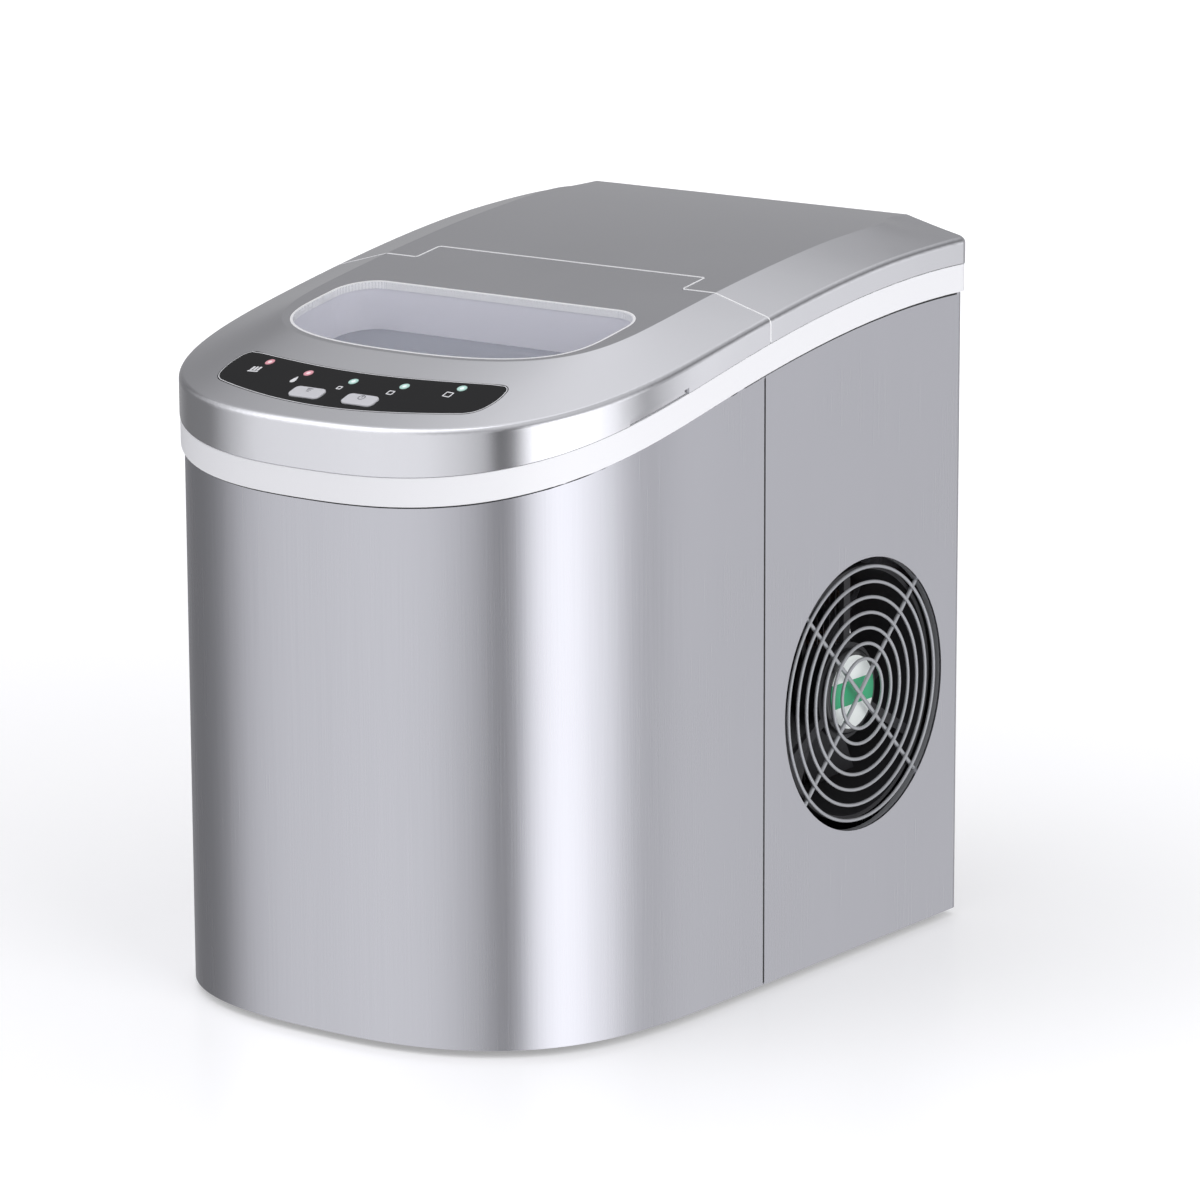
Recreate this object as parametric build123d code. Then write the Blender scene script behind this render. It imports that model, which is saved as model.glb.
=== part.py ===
"""Countertop ice maker: 50-odd separate pieces, each written as one STEP file.

Millimetres. +Z is up, the front faces -Y, and the origin is the middle of the footprint,
on the surface the four feet stand on.
"""
from build123d import *
import os
from math import cos, hypot, pi, sin

# ---------------------------------------------------------------- driving dimensions

# Steel housing
body_width = 242.0
body_depth = 328.0
body_height = 297.0  # top of the steel at the rear
foot_height = 3.2
sheet = 1.0
corner_radius = 4.0  # the two upright rear edges
front_curve = (152.0, 2.55, 3.5)  # depth of the bowed front, and its two roundness powers
shell_seam_from_rear = 158.3
seam_gap = 0.5

# Sloping top line: four evenly spaced control heights, front to rear
shell_top_drop = (57.6, 27.5, -4.2, 0.0)
band_height = 13.0
rim_rise = (21.9, 7.8, 11.8, 11.3)
crown_rise = (9.5, 11.3, 5.5, 8.6)
profile_overrun = 6.0  # how far the profile runs past the body, front and rear

# Trim band, lid and rear cover
band_overhang = 1.7
lid_overhang = 2.0
parting_gap = 0.4
plastic_wall = 2.4
crease_radius = 3.0
ridge_inset = 28.0  # bevel width at the sides
ridge_setback = 59.5  # bevel depth at the front
ridge_curve = (100.0, 2.54, 4.9)
lid_seam_behind_shell_seam = 1.3
tongue_length = 17.0
tongue_width = 150.0
hinge_depth = 5.0
hinge_barrel_radius = 7.5
hinge_pin_radius = 1.6
hinge_pin_length = 22.0
notch_length = 37.0
notch_height = 2.4
notch_depth = 1.3
notch_from_seam = 60.0

# Window in the lid
window_width = 166.0
window_setback = 62.0  # from the body's front to the window's front edge
window_to_hinge = 44.5
window_curve = (50.0, 2.4, 3.4)
window_corner = 18.0
seal_width = 1.2
pane_sink = 0.3
pane_thickness = 3.0
well_depth = 24.0
well_wall = 2.5
inner_pane_thickness = 2.0

# Control panel on the front bevel
panel_setback = (10.3, 41.0)  # front and rear edge at the middle, from the body's front
panel_width = 150.0
panel_front_sag = 14.2
panel_rear_sag = 9.5
lamp_pitch = 26.8
lamp_radius = 2.3
lamp_setback = 33.0
lamp_arc_radius = 188.0
button_size = (17.0, 8.5)
button_corner = 2.6
button_setback = 19.4
button_pitch = 29.4
button_proud = 0.7
button_travel = 1.2
button_gap = 0.25

# Feet, base and drain
foot_radius = 9.0
foot_inset = 26.0
tray_floor = 3.0
tray_rim = 14.0
drain_radius = 9.0
drain_wall = 2.5
running_gap = 0.06

# Wet compartment
bay_depth = 140.0  # rear compartment, from the divider to the rear of the body
divider_thickness = 1.2
hose_channel = 10.0
tub_inset = 14.0
tub_wall = 2.2
tub_floor_height = 60.0
basket_gap = 5.0
basket_wall = 2.0
basket_height = 50.0
insulation_thickness = 8.5

# Ice-making unit, measured back from the divider and down from the deck
tray_axis_ahead = 42.0
unit_below_deck = 44.0
tray_size = (128.0, 40.0, 30.0)
tray_wall = 2.0
finger_radius = 4.5
finger_length = 32.0
finger_pitch = 24.0
shovel_ahead = 48.0
shovel_blade = 40.0
bracket_thickness = 3.0
stub_radius = 3.5

# Refrigeration bay
fan_from_rear = 79.0
fan_height = 122.0
grille_radius = 63.2
ring_pitch = 7.1
ring_wire = 0.8
cross_wire = 1.0
fan_radius = 54.0
blade_count = 7
compressor_radius = 46.0
compressor_height = 128.0
condenser_size = (22.0, 100.0, 124.0)
condenser_shift = 5.0  # behind the fan's axis
condenser_overhang = 9.0  # tube bends beyond the end fins
fin_pitch = 5.0
pipe_radius = 4.0
hose_radius = 3.5
capillary_radius = 1.5
gland_radius = 8.0
cord_radius = 4.0
screw_radius = 1.6

# ---------------------------------------------------------------- places worked out from them

half_width = body_width / 2
front_y = -body_depth / 2
rear_y = body_depth / 2
shell_seam_y = rear_y - shell_seam_from_rear
lid_seam_y = shell_seam_y + lid_seam_behind_shell_seam
divider_y = rear_y - bay_depth
tub_rear_y = divider_y - hose_channel
profile_reach = body_depth / 2 + profile_overrun
far = body_width  # safely past the sides
shell_inner = sheet + 0.4
deck_thickness = 3.0


def lifted(heights, rise):
    """Four control heights raised by one amount, or by four."""
    if isinstance(rise, (int, float)):
        rise = (rise,) * 4
    return tuple(height + step for height, step in zip(heights, rise))


def level(height):
    return (height,) * 4


shell_top = tuple(body_height - drop for drop in shell_top_drop)
band_top = lifted(shell_top, band_height)
crease = lifted(band_top, rim_rise)
crown = lifted(crease, crown_rise)


def height_at(heights, y):
    """Height of a top line at y: a cubic through its four control heights."""
    t = (y + profile_reach) / (2 * profile_reach)
    a, b, c, d = heights
    return a * (1 - t) ** 3 + 3 * b * t * (1 - t) ** 2 + 3 * c * t * t * (1 - t) + d * t**3


tongue_rear_y = lid_seam_y + tongue_length
hinge_y = tongue_rear_y - (hinge_barrel_radius**2 - hinge_depth**2) ** 0.5
hinge_z = height_at(crown, hinge_y) - hinge_depth
tray_axis_y = divider_y - tray_axis_ahead
unit_z = height_at(band_top, tray_axis_y) - unit_below_deck  # underside of the evaporator plate
tray_axis_z = unit_z - 12.0
shovel_y = tray_axis_y - shovel_ahead
shovel_z = unit_z - 2.0
basket_top = shovel_z - shovel_blade - 6.0
basket_rear_y = shovel_y - 4.0
fan_y = rear_y - fan_from_rear
side_inner = half_width - sheet
fan_motor_x = side_inner - 6.0  # outer face of the fan motor
condenser_x = side_inner - 57.0
compressor_x = -side_inner + 7.0 + compressor_radius
compressor_y = rear_y - 11.0 - compressor_radius
compressor_z = foot_height + tray_floor + 16.0
port_top = compressor_z + compressor_height + 10.0

# ---------------------------------------------------------------- shared outlines


def front_points(width, front, curve, outset, count=12):
    """Right half of a bowed front, side to middle, moved outward by outset along its normal."""
    depth, n, m = curve
    half = width / 2
    points = []
    for step in range(count + 1):
        turn = pi / 2 * (step / count) ** (m / 2)
        x = half * max(cos(turn), 0.0) ** (2 / n) if step < count else 0.0
        run = depth * sin(turn) ** (2 / m)
        across = n / half * (x / half) ** (n - 1)
        along = -m / depth * (run / depth) ** (m - 1)
        size = hypot(across, along)
        points.append((x + outset * across / size, front + depth - run + outset * along / size))
    return points


def bowed_face(width, front, rear, curve, corner, outset=0.0):
    """Flat outline with a bowed front, straight sides and a square rear with round corners."""
    right = front_points(width, front, curve, outset)
    points = right + [(-x, y) for x, y in reversed(right[:-1])]
    bow = Spline(*points, tangents=((0, -1), (0, 1)))
    start = bow @ 0
    end = bow @ 1
    back = Polyline((end.X, end.Y), (end.X, rear + outset), (start.X, rear + outset), (start.X, start.Y))
    face = make_face([bow, back])
    return fillet(face.vertices().sort_by(Axis.Y)[-2:], max(corner + outset, 0.5))


def plan(outset=0.0, rear=rear_y, corner=corner_radius):
    return bowed_face(body_width, front_y, rear, front_curve, corner, outset)


def column(face, low=0.0, high=400.0):
    """The upright prism of a flat outline between two heights."""
    return extrude(Pos(0, 0, low) * face, amount=high - low)


def between(low, high, reach=far):
    """Everything between two top lines, right across the body."""
    stations = [profile_reach * (2 * k / 3 - 1) for k in range(4)]
    lower = Bezier(*[(-reach, y, z) for y, z in zip(stations, low)])
    upper = Bezier(*[(-reach, y, z) for y, z in zip(stations, high)])
    ends = [Line(lower @ 1, upper @ 1), Line(upper @ 0, lower @ 0)]
    return extrude(make_face([lower, upper] + ends), amount=2 * reach, dir=(1, 0, 0))


def block(x, y, z):
    """Box from three (low, high) pairs."""
    size = [high - low for low, high in (x, y, z)]
    middle = [(high + low) / 2 for low, high in (x, y, z)]
    return Pos(*middle) * Box(*size)


def rod(radius, start, end):
    """Round bar from one point to another."""
    start = Vector(*start)
    along = Vector(*end) - start
    return extrude(Plane(origin=start, z_dir=along) * Circle(radius), amount=along.length)


def tube(outer, inner, start, end):
    return rod(outer, start, end) - rod(inner, start, end)


def pipe(radius, bend, *points):
    """Round pipe along straight runs joined by arcs of the bend radius."""
    path = FilletPolyline(*points, radius=bend)
    section = Plane(origin=path @ 0, z_dir=path % 0) * Circle(radius)
    return sweep(section, path=path)


def ahead_of(y):
    return block((-far, far), (-2 * body_depth, y), (-50, 2 * body_height))


def behind(y):
    return block((-far, far), (y, 2 * body_depth), (-50, 2 * body_height))


# ---------------------------------------------------------------- lid and rear cover form


def bevel_cutter(drop=0.0):
    """Everything above the ruled bevel between the crease and the crown's ridge."""
    outer = front_points(body_width, front_y, front_curve, lid_overhang)
    inner = front_points(body_width - 2 * ridge_inset, front_y + ridge_setback, ridge_curve, 0.0)
    past_rear = rear_y + 10.0
    side_steps = 5
    pairs = []
    for step in range(side_steps):
        share = step / side_steps
        pair = [(row[0][0], past_rear + share * (row[0][1] - past_rear)) for row in (outer, inner)]
        pairs.append(pair)
    pairs += list(zip(outer, inner))
    pairs += [((-a[0], a[1]), (-b[0], b[1])) for a, b in reversed(pairs[:-1])]
    sections = []
    up = Vector(0, 0, 60)
    for (outer_x, outer_y), (inner_x, inner_y) in pairs:
        low = Vector(outer_x, outer_y, height_at(crease, outer_y) - drop)
        high = Vector(inner_x, inner_y, height_at(crown, inner_y) - drop)
        ruling = high - low
        step = ruling / hypot(ruling.X, ruling.Y)
        low = low - step * 6.0
        high = high + step * 8.0
        sections.append(Wire.make_polygon([low, high, high + up, low + up], close=True))
    return Solid.make_loft(sections)


def make_hood():
    """Outer form shared by the lid and the rear cover, as one block."""
    hood = column(plan(lid_overhang)) & between(lifted(band_top, parting_gap), crown)
    hood -= bevel_cutter()
    side_limit = half_width + lid_overhang - corner_radius - 2.5
    soft_edges = []
    for edge in hood.edges().filter_by(GeomType.LINE, reverse=True):
        box = edge.bounding_box()
        middle = edge @ 0.5
        at_side = max(abs(box.min.X), abs(box.max.X)) > side_limit
        on_crease = at_side and abs(middle.Z - height_at(crease, middle.Y)) < 1.0
        at_rear = box.min.Y > rear_y + lid_overhang - 0.01
        if on_crease or (at_rear and box.min.Z > height_at(crease, rear_y) - 1.0):
            soft_edges.append(edge)
    return fillet(soft_edges, crease_radius)


def make_cavity():
    """Hollow under the hood, one wall inside it."""
    hollow = column(plan(lid_overhang - plastic_wall)) & between(level(100.0), lifted(crown, -plastic_wall))
    return hollow - bevel_cutter(plastic_wall)


hood = make_hood()
cavity = make_cavity()
hood_shell = hood - cavity


def hood_skin(face, above, below):
    """The patch of the hood's surface inside a flat outline, from above it to below it."""
    patch = column(face, 200.0) & (Pos(0, 0, above) * hood)
    return patch - (Pos(0, 0, -below) * hood)


def window_face(outset=0.0):
    rear = hinge_y - window_to_hinge
    return bowed_face(window_width, front_y + window_setback, rear, window_curve, window_corner, outset)


def panel_face(outset=0.0):
    """Curved control panel: its long edges follow the bowed front."""
    low = front_y + panel_setback[0] - outset
    high = front_y + panel_setback[1] + outset
    half = panel_width / 2 + outset
    front_end = (half - 4.0, low + panel_front_sag)
    rear_end = (half - 2.5, high + panel_rear_sag)
    bulge = (half, (front_end[1] + rear_end[1]) / 2)

    def flip(point):
        return (-point[0], point[1])

    edges = [
        ThreePointArc(flip(front_end), (0, low), front_end),
        ThreePointArc(front_end, bulge, rear_end),
        ThreePointArc(rear_end, (0, high), flip(rear_end)),
        ThreePointArc(flip(rear_end), flip(bulge), flip(front_end)),
    ]
    face = make_face(edges)
    corners = face.vertices().sort_by(Axis.Y)
    face = fillet(corners[:2], 12.0 + outset)
    corners = [v for v in face.vertices() if abs(v.Y - rear_end[1]) < 0.01 and abs(v.X) > half - 4.0]
    return fillet(corners, 5.0 + outset)


def bevel_slope():
    """Rise per millimetre of the front bevel at its middle."""
    low_y = front_y - lid_overhang
    high_y = front_y + ridge_setback
    return (height_at(crown, high_y) - height_at(crease, low_y)) / (high_y - low_y)


def bevel_plane(x, y):
    """Plane lying on the front bevel at (x, y), its z axis pointing out of the panel."""
    z = height_at(crease, front_y - lid_overhang) + bevel_slope() * (y - front_y + lid_overhang)
    return Plane(origin=(x, y, z), x_dir=(1, 0, 0), z_dir=(0, -bevel_slope(), 1))


def button_planes():
    y = front_y + button_setback
    return [bevel_plane(x, y) for x in (-button_pitch / 2, button_pitch / 2)]


def lamp_points():
    points = []
    for step in range(-2, 3):
        x = step * lamp_pitch
        points.append((x, front_y + lamp_setback + lamp_arc_radius - (lamp_arc_radius**2 - x * x) ** 0.5))
    return points


def button_prism(plane, grow, low, high):
    outline = RectangleRounded(button_size[0] + 2 * grow, button_size[1] + 2 * grow, button_corner + grow)
    return extrude(plane * Pos(0, 0, low) * outline, amount=high - low)


# ---------------------------------------------------------------- lid body


def liner_face(outset=0.0):
    return plan(-tub_inset - tub_wall - 6.0 + outset, rear=tongue_rear_y - 2.5, corner=24.0)


def lid_boss_points():
    x = window_width / 2 + 8.5
    return [(side * x, hinge_y - back) for side in (-1, 1) for back in (38.0, 84.0)]


def lid_frame():
    lid = hood_shell & ahead_of(lid_seam_y - seam_gap / 2)
    tongue = hood_shell & block(
        (-tongue_width / 2, tongue_width / 2), (lid_seam_y - 2.0, hinge_y), (100.0, 400.0)
    )
    half = tongue_width / 2
    barrel = rod(hinge_barrel_radius, (-half, hinge_y, hinge_z), (half, hinge_y, hinge_z)) & hood
    lid = lid + tongue + barrel
    for side in (-1, 1):
        lid -= rod(
            hinge_pin_radius + running_gap,
            (side * (half - hinge_pin_length / 2 - 1.0), hinge_y, hinge_z),
            (side * (half + 1.0), hinge_y, hinge_z),
        )
    above_liner = between(lifted(crown, -well_depth), crown)
    for x, y in lid_boss_points():
        top = height_at(crown, y)
        foot = top - well_depth - 4.0
        post = tube(3.5, screw_radius + running_gap, (x, y, foot), (x, y, top - 4.0)) & above_liner
        lid += post + rod(3.5, (x, y, top - 4.0), (x, y, top - plastic_wall + 0.4))
    lid -= column(window_face(), 200.0)
    lid -= column(panel_face(0.15), 200.0)
    return lid - finger_notch()


def finger_notch():
    """Shallow recess in the lid's lower right edge, for a fingertip."""
    rear = lid_seam_y - notch_from_seam
    low = lifted(band_top, parting_gap - 1.0)
    high = lifted(band_top, parting_gap + notch_height)
    band = between(low, high) & block((0.0, far), (rear - notch_length, rear), (0.0, 400.0))
    return band - column(plan(lid_overhang - notch_depth))


def window_seal():
    ring = column(window_face()) - column(window_face(-seal_width))
    return ring & between(lifted(crown, -pane_sink - pane_thickness), crown)


def lid_window():
    heights = lifted(crown, -pane_sink)
    return column(window_face(-seal_width)) & between(lifted(heights, -pane_thickness), heights)


def lid_liner():
    floor = lifted(crown, -well_depth)
    underside = lifted(floor, -2.0)
    rim = lifted(floor, 8.0)
    liner = column(liner_face()) & between(underside, rim)
    liner -= column(liner_face(-well_wall)) & between(floor, lifted(rim, 1.0))
    well = column(window_face(well_wall - 0.8)) - column(window_face(-0.8))
    liner += well & between(lifted(floor, -1.0), lifted(crown, -pane_sink - pane_thickness))
    liner -= column(window_face(-4.0), 100.0)
    for x, y in lid_boss_points():
        liner -= rod(screw_radius + 0.2, (x, y, 200.0), (x, y, 400.0))
    return liner


def inner_window():
    floor = lifted(crown, -well_depth)
    return column(window_face(-1.0)) & between(floor, lifted(floor, inner_pane_thickness))


def lid_screws():
    screws = []
    for x, y in lid_boss_points():
        seat = height_at(crown, y - 3.2) - well_depth - 2.05
        head = rod(3.0, (x, y, seat - 2.0), (x, y, seat))
        screws.append(head + rod(screw_radius, (x, y, seat), (x, y, seat + 14.0)))
    return Compound(children=screws)


def control_overlay():
    overlay = hood_skin(panel_face(), 0.0, plastic_wall)
    for x, y in lamp_points():
        overlay -= rod(lamp_radius, (x, y, 200.0), (x, y, 400.0))
    for plane in button_planes():
        overlay -= button_prism(plane, button_gap, -8.0, 8.0)
    return overlay


def lamp_lens(point):
    x, y = point
    return hood_skin(Pos(x, y) * Circle(lamp_radius - 0.02), 0.15, 3.6)


def red_indicators():
    return Compound(children=[lamp_lens(point) for point in lamp_points()[:2]])


def green_indicators():
    return Compound(children=[lamp_lens(point) for point in lamp_points()[2:]])


def button_flange_top():
    """Depth of the flange's top below the panel surface, clear of the lid's wall."""
    return -plastic_wall - 0.5


def button(plane):
    flange = button_flange_top()
    cap = button_prism(plane, 0.0, flange, button_proud)
    cap = fillet(cap.faces().sort_by(Axis.Z)[-1].edges(), 0.5)
    return cap + button_prism(plane, 1.6, flange - 1.2, flange)


def select_button():
    return button(button_planes()[0])


def power_button():
    return button(button_planes()[1])


def control_board():
    plane = bevel_plane(0.0, front_y + 25.0)
    top = button_flange_top() - 1.2 - button_travel - 2.2
    board = extrude(plane * Pos(0, 0, top - 1.6) * Rectangle(124.0, 26.0), amount=1.6)
    for spot in button_planes():
        place = plane.to_local_coords(spot.origin)
        board += extrude(plane * Pos(place.X, place.Y, top) * Circle(1.8), amount=2.0)
    for x in (-42.0, 42.0):
        board += extrude(plane * Pos(x, -4.0, top) * Rectangle(14.0, 10.0), amount=1.5)
    return board


# ---------------------------------------------------------------- fixed housing


def rear_cover():
    cover = hood_shell & behind(lid_seam_y + seam_gap / 2)
    half = tongue_width / 2 + seam_gap
    cover -= block((-half, half), (lid_seam_y - 5.0, hinge_y), (100.0, 400.0))
    sweep_radius = hinge_barrel_radius + seam_gap
    return cover - rod(sweep_radius, (-half, hinge_y, hinge_z), (half, hinge_y, hinge_z))


def hinge_bracket_span():
    start = tongue_width / 2 + 2.5
    return start, start + 8.0


def hinge_brackets():
    low, high = hinge_bracket_span()
    brackets = []
    for side in (-1, 1):
        x = (side * low, side * high)
        foot = block((min(x), max(x)), (hinge_y - 3.0, hinge_y + 16.0), (200.0, 400.0))
        foot &= between(band_top, lifted(band_top, 3.0))
        ear = rod(3.2, (x[0], hinge_y, hinge_z), (x[1], hinge_y, hinge_z))
        ear &= between(level(0.0), lifted(crown, -plastic_wall - 0.05))
        web = block((min(x), max(x)), (hinge_y - 3.0, hinge_y + 3.0), (200.0, hinge_z))
        web -= between(level(0.0), band_top)
        bore = rod(hinge_pin_radius + 0.02, (x[0] - side, hinge_y, hinge_z), (x[1] + side, hinge_y, hinge_z))
        brackets.append(foot + ear + web - bore)
    return Compound(children=brackets)


def hinge_pins():
    half = tongue_width / 2
    pins = []
    for side in (-1, 1):
        inner = side * (half - hinge_pin_length / 2)
        outer = side * (half + hinge_pin_length / 2)
        pins.append(rod(hinge_pin_radius, (inner, hinge_y, hinge_z), (outer, hinge_y, hinge_z)))
    return Compound(children=pins)


def upper_frame():
    """White trim band with the deck inside it and a skirt that laps into the steel."""
    frame = column(plan(band_overhang)) & between(lifted(shell_top, parting_gap), band_top)
    frame += column(plan(-shell_inner)) & between(lifted(shell_top, -9.0), lifted(shell_top, 2.0))
    frame -= column(plan(-shell_inner - 2.0)) & between(level(0.0), lifted(band_top, -deck_thickness))
    frame -= column(plan(-tub_inset - tub_wall)) & ahead_of(tub_rear_y - tub_wall)
    for point in rear_screw_points():
        frame -= screw_hole(point, screw_radius + 0.05)
    return frame


def steel_wrap():
    wrap = column(plan()) - column(plan(-sheet))
    return wrap & between(level(foot_height), shell_top)


def front_shell():
    return steel_wrap() & ahead_of(shell_seam_y - seam_gap / 2)


def intake_slots():
    """Rows of slots on the left side and across the back."""
    slots = []
    for row in range(12):
        z = 66.0 + 9.0 * row
        for y in (rear_y - 38.0, rear_y - 74.0, rear_y - 110.0):
            slots.append(Pos(-half_width, y, z) * Rot(0, 90, 0) * extrude(SlotOverall(28.0, 4.0, 90), 4.0, both=True))
    for row in range(8):
        z = 84.0 + 9.0 * row
        for x in (-62.0, -22.0, 22.0, 62.0):
            slots.append(Pos(x, rear_y, z) * Rot(90, 0, 0) * extrude(SlotOverall(30.0, 4.0), 4.0, both=True))
    return slots


def rear_screw_points():
    top = height_at(shell_top, rear_y) - 4.5
    low = foot_height + tray_rim - 5.0
    x = half_width - 20.0
    return [(side * x, z) for side in (-1, 0, 1) for z in (low, top)]


def screw_hole(point, radius):
    return rod(radius, (point[0], rear_y - 8.0, point[1]), (point[0], rear_y + 5.0, point[1]))


def gland_point():
    return (half_width - 36.0, foot_height + 27.0)


def rear_shell():
    shell = steel_wrap() & behind(shell_seam_y + seam_gap / 2)
    shell -= rod(grille_radius, (half_width - 5.0, fan_y, fan_height), (half_width + 5.0, fan_y, fan_height))
    for slot in intake_slots():
        shell -= slot
    for point in rear_screw_points():
        shell -= screw_hole(point, screw_radius + 0.15)
    x, z = gland_point()
    return shell - rod(gland_radius, (x, rear_y - 5.0, z), (x, rear_y + 5.0, z))


def housing_screws():
    screws = []
    for x, z in rear_screw_points():
        head = rod(3.3, (x, rear_y, z), (x, rear_y + 1.6, z))
        screws.append(head + rod(screw_radius, (x, rear_y - 5.5, z), (x, rear_y, z)))
    return Compound(children=screws)


def cord_gland():
    x, z = gland_point()
    body = rod(gland_radius - 0.1, (x, rear_y - 15.0, z), (x, rear_y + 2.0, z))
    body += rod(gland_radius + 2.5, (x, rear_y, z), (x, rear_y + 2.0, z))
    body += rod(gland_radius + 2.5, (x, rear_y - 4.0, z), (x, rear_y - sheet, z))
    return body - rod(cord_radius, (x, rear_y - 20.0, z), (x, rear_y + 5.0, z))


def foot_points():
    x = half_width - foot_inset
    return [(side * x, y) for side in (-1, 1) for y in (front_y + 2.6 * foot_inset, rear_y - foot_inset)]


def base_tray():
    clear = sheet + 0.3
    wall = 3.0
    tray = column(plan(-clear), foot_height, foot_height + tray_rim)
    tray -= column(plan(-clear - wall), foot_height + tray_floor, 100.0)
    for x, y in foot_points():
        tray -= rod(3.1, (x, y, 0.0), (x, y, 20.0))
    x, y = drain_point()
    tray -= rod(drain_radius + 6.0, (x, y, 0.0), (x, y, 20.0))
    for point in rear_screw_points():
        tray -= screw_hole(point, screw_radius + 0.05)
    return tray


def rubber_feet():
    feet = []
    for x, y in foot_points():
        pad = rod(foot_radius, (x, y, 0.0), (x, y, foot_height))
        top = foot_height + tray_floor
        feet.append(pad + rod(3.0, (x, y, foot_height), (x, y, top)) + rod(4.5, (x, y, top), (x, y, top + 2.0)))
    return Compound(children=feet)


# ---------------------------------------------------------------- wet compartment


def drain_point():
    return (-half_width + 62.0, front_y + 74.0)


def pump_point():
    return (40.0, divider_y - 36.0)


def tub_outer(outset=0.0):
    return plan(-tub_inset + outset)


def water_tub():
    top = lifted(band_top, -deck_thickness)
    tub = column(tub_outer()) & between(level(tub_floor_height), top) & ahead_of(tub_rear_y)
    inside = column(tub_outer(-tub_wall), tub_floor_height + tub_wall) & ahead_of(tub_rear_y - tub_wall)
    tub -= inside
    shelf_top = basket_top - basket_height
    shelf = column(tub_outer(-tub_wall + 0.5), shelf_top - 3.0, shelf_top)
    shelf -= column(tub_outer(-tub_wall - basket_gap - 4.0))
    tub += shelf & ahead_of(basket_rear_y)
    for x, y, radius in [(*drain_point(), drain_radius - drain_wall), (*pump_point(), 4.0)]:
        tub -= rod(radius, (x, y, tub_floor_height - 5.0), (x, y, tub_floor_height + 5.0))
    for x, radius in line_places():
        tub -= rod(radius + 0.4, (x, tub_rear_y - 6.0, line_z()), (x, tub_rear_y + 4.0, line_z()))
    x = pump_point()[0]
    return tub - rod(hose_radius + 0.3, (x, tub_rear_y - 6.0, spout_z()), (x, tub_rear_y + 4.0, spout_z()))


def tub_insulation():
    """Foam jacket round the tub's front, sides and floor."""
    outer = column(plan(-tub_inset + insulation_thickness)) & ahead_of(tub_rear_y)
    jacket = outer & between(level(tub_floor_height - insulation_thickness), lifted(shell_top, -12.0))
    jacket -= column(tub_outer(0.3), tub_floor_height - 0.3)
    for x, y, radius in [(*drain_point(), drain_radius), (*pump_point(), 6.0)]:
        jacket -= rod(radius + 0.5, (x, y, 0.0), (x, y, 100.0))
    return jacket


def ice_basket():
    low = basket_top - basket_height
    outset = -tub_wall - basket_gap
    basket = column(tub_outer(outset), low, basket_top) & ahead_of(basket_rear_y)
    hollow = column(tub_outer(outset - basket_wall), low + basket_wall, 400.0)
    basket -= hollow & ahead_of(basket_rear_y - basket_wall)
    usable = basket_rear_y - (front_y + tub_inset + tub_wall + basket_gap)
    rows = max(int((usable - 18.0) / 9.0), 1)
    for row in range(rows):
        y = basket_rear_y - 9.0 - 9.0 * row
        for x in (-45.0, -15.0, 15.0, 45.0):
            basket -= Pos(x, y, low) * extrude(SlotOverall(22.0, 4.0), 5.0, both=True)
    for side in (-1, 1):
        grip = Pos(side * 46.0, basket_rear_y, basket_top - 14.0) * Rot(90, 0, 0)
        basket -= grip * extrude(SlotOverall(26.0, 10.0), 6.0, both=True)
    return basket


def drain_pipe():
    x, y = drain_point()
    low = foot_height + 10.0
    body = rod(drain_radius, (x, y, low), (x, y, tub_floor_height))
    return body - rod(drain_radius - drain_wall, (x, y, 0.0), (x, y, 100.0))


def drain_cap():
    x, y = drain_point()
    low = foot_height + 0.6
    end = foot_height + 10.0
    cap = rod(drain_radius + 3.0, (x, y, low), (x, y, end + 8.0))
    cap -= rod(drain_radius + running_gap, (x, y, end - 0.4), (x, y, 100.0))
    grip = block((x - 2.0, x + 2.0), (y - 8.0, y + 8.0), (low - 1.0, low + 4.0))
    slots = block((x - 7.0, x - 2.0), (y - 8.0, y + 8.0), (low - 1.0, low + 4.0))
    slots += block((x + 2.0, x + 7.0), (y - 8.0, y + 8.0), (low - 1.0, low + 4.0))
    return (cap - slots) + (grip & rod(drain_radius, (x, y, low), (x, y, low + 4.5)))


def divider_panel():
    clear = shell_inner + 2.6
    panel = column(plan(-clear)) & between(level(foot_height + tray_floor), lifted(shell_top, -2.0))
    panel &= block((-far, far), (divider_y, divider_y + divider_thickness), (0.0, 400.0))
    for x, radius in line_places():
        panel -= rod(radius + 0.4, (x, divider_y - 5.0, line_z()), (x, divider_y + 5.0, line_z()))
    return panel


def line_places():
    """Where the refrigerant lines cross the tub wall and the divider: x and pipe radius."""
    return [(0.0, pipe_radius), (-20.0, pipe_radius), (-40.0, capillary_radius)]


def line_z():
    return unit_z + 5.0


def spout_z():
    return unit_z - 6.0


def pump_motor():
    x, y = pump_point()
    low = foot_height + tray_floor
    return rod(16.0, (x, y, low), (x, y, low + 18.0))


def pump_levels():
    low = foot_height + tray_floor + 18.0
    return low, tub_floor_height - insulation_thickness - 6.0


def pump_housing():
    x, y = pump_point()
    low, high = pump_levels()
    body = rod(17.0, (x, y, low), (x, y, high))
    body += rod(6.0, (x, y, high), (x, y, tub_floor_height))
    body += rod(5.0, (x, y, low + 8.0), (x, y + 21.0, low + 8.0))
    body -= rod(13.5, (x, y, low + 2.0), (x, y, high - 2.0))
    body -= rod(4.0, (x, y, low + 5.0), (x, y, 100.0))
    return body - rod(2.5, (x, y, low + 8.0), (x, y + 30.0, low + 8.0))


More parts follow.
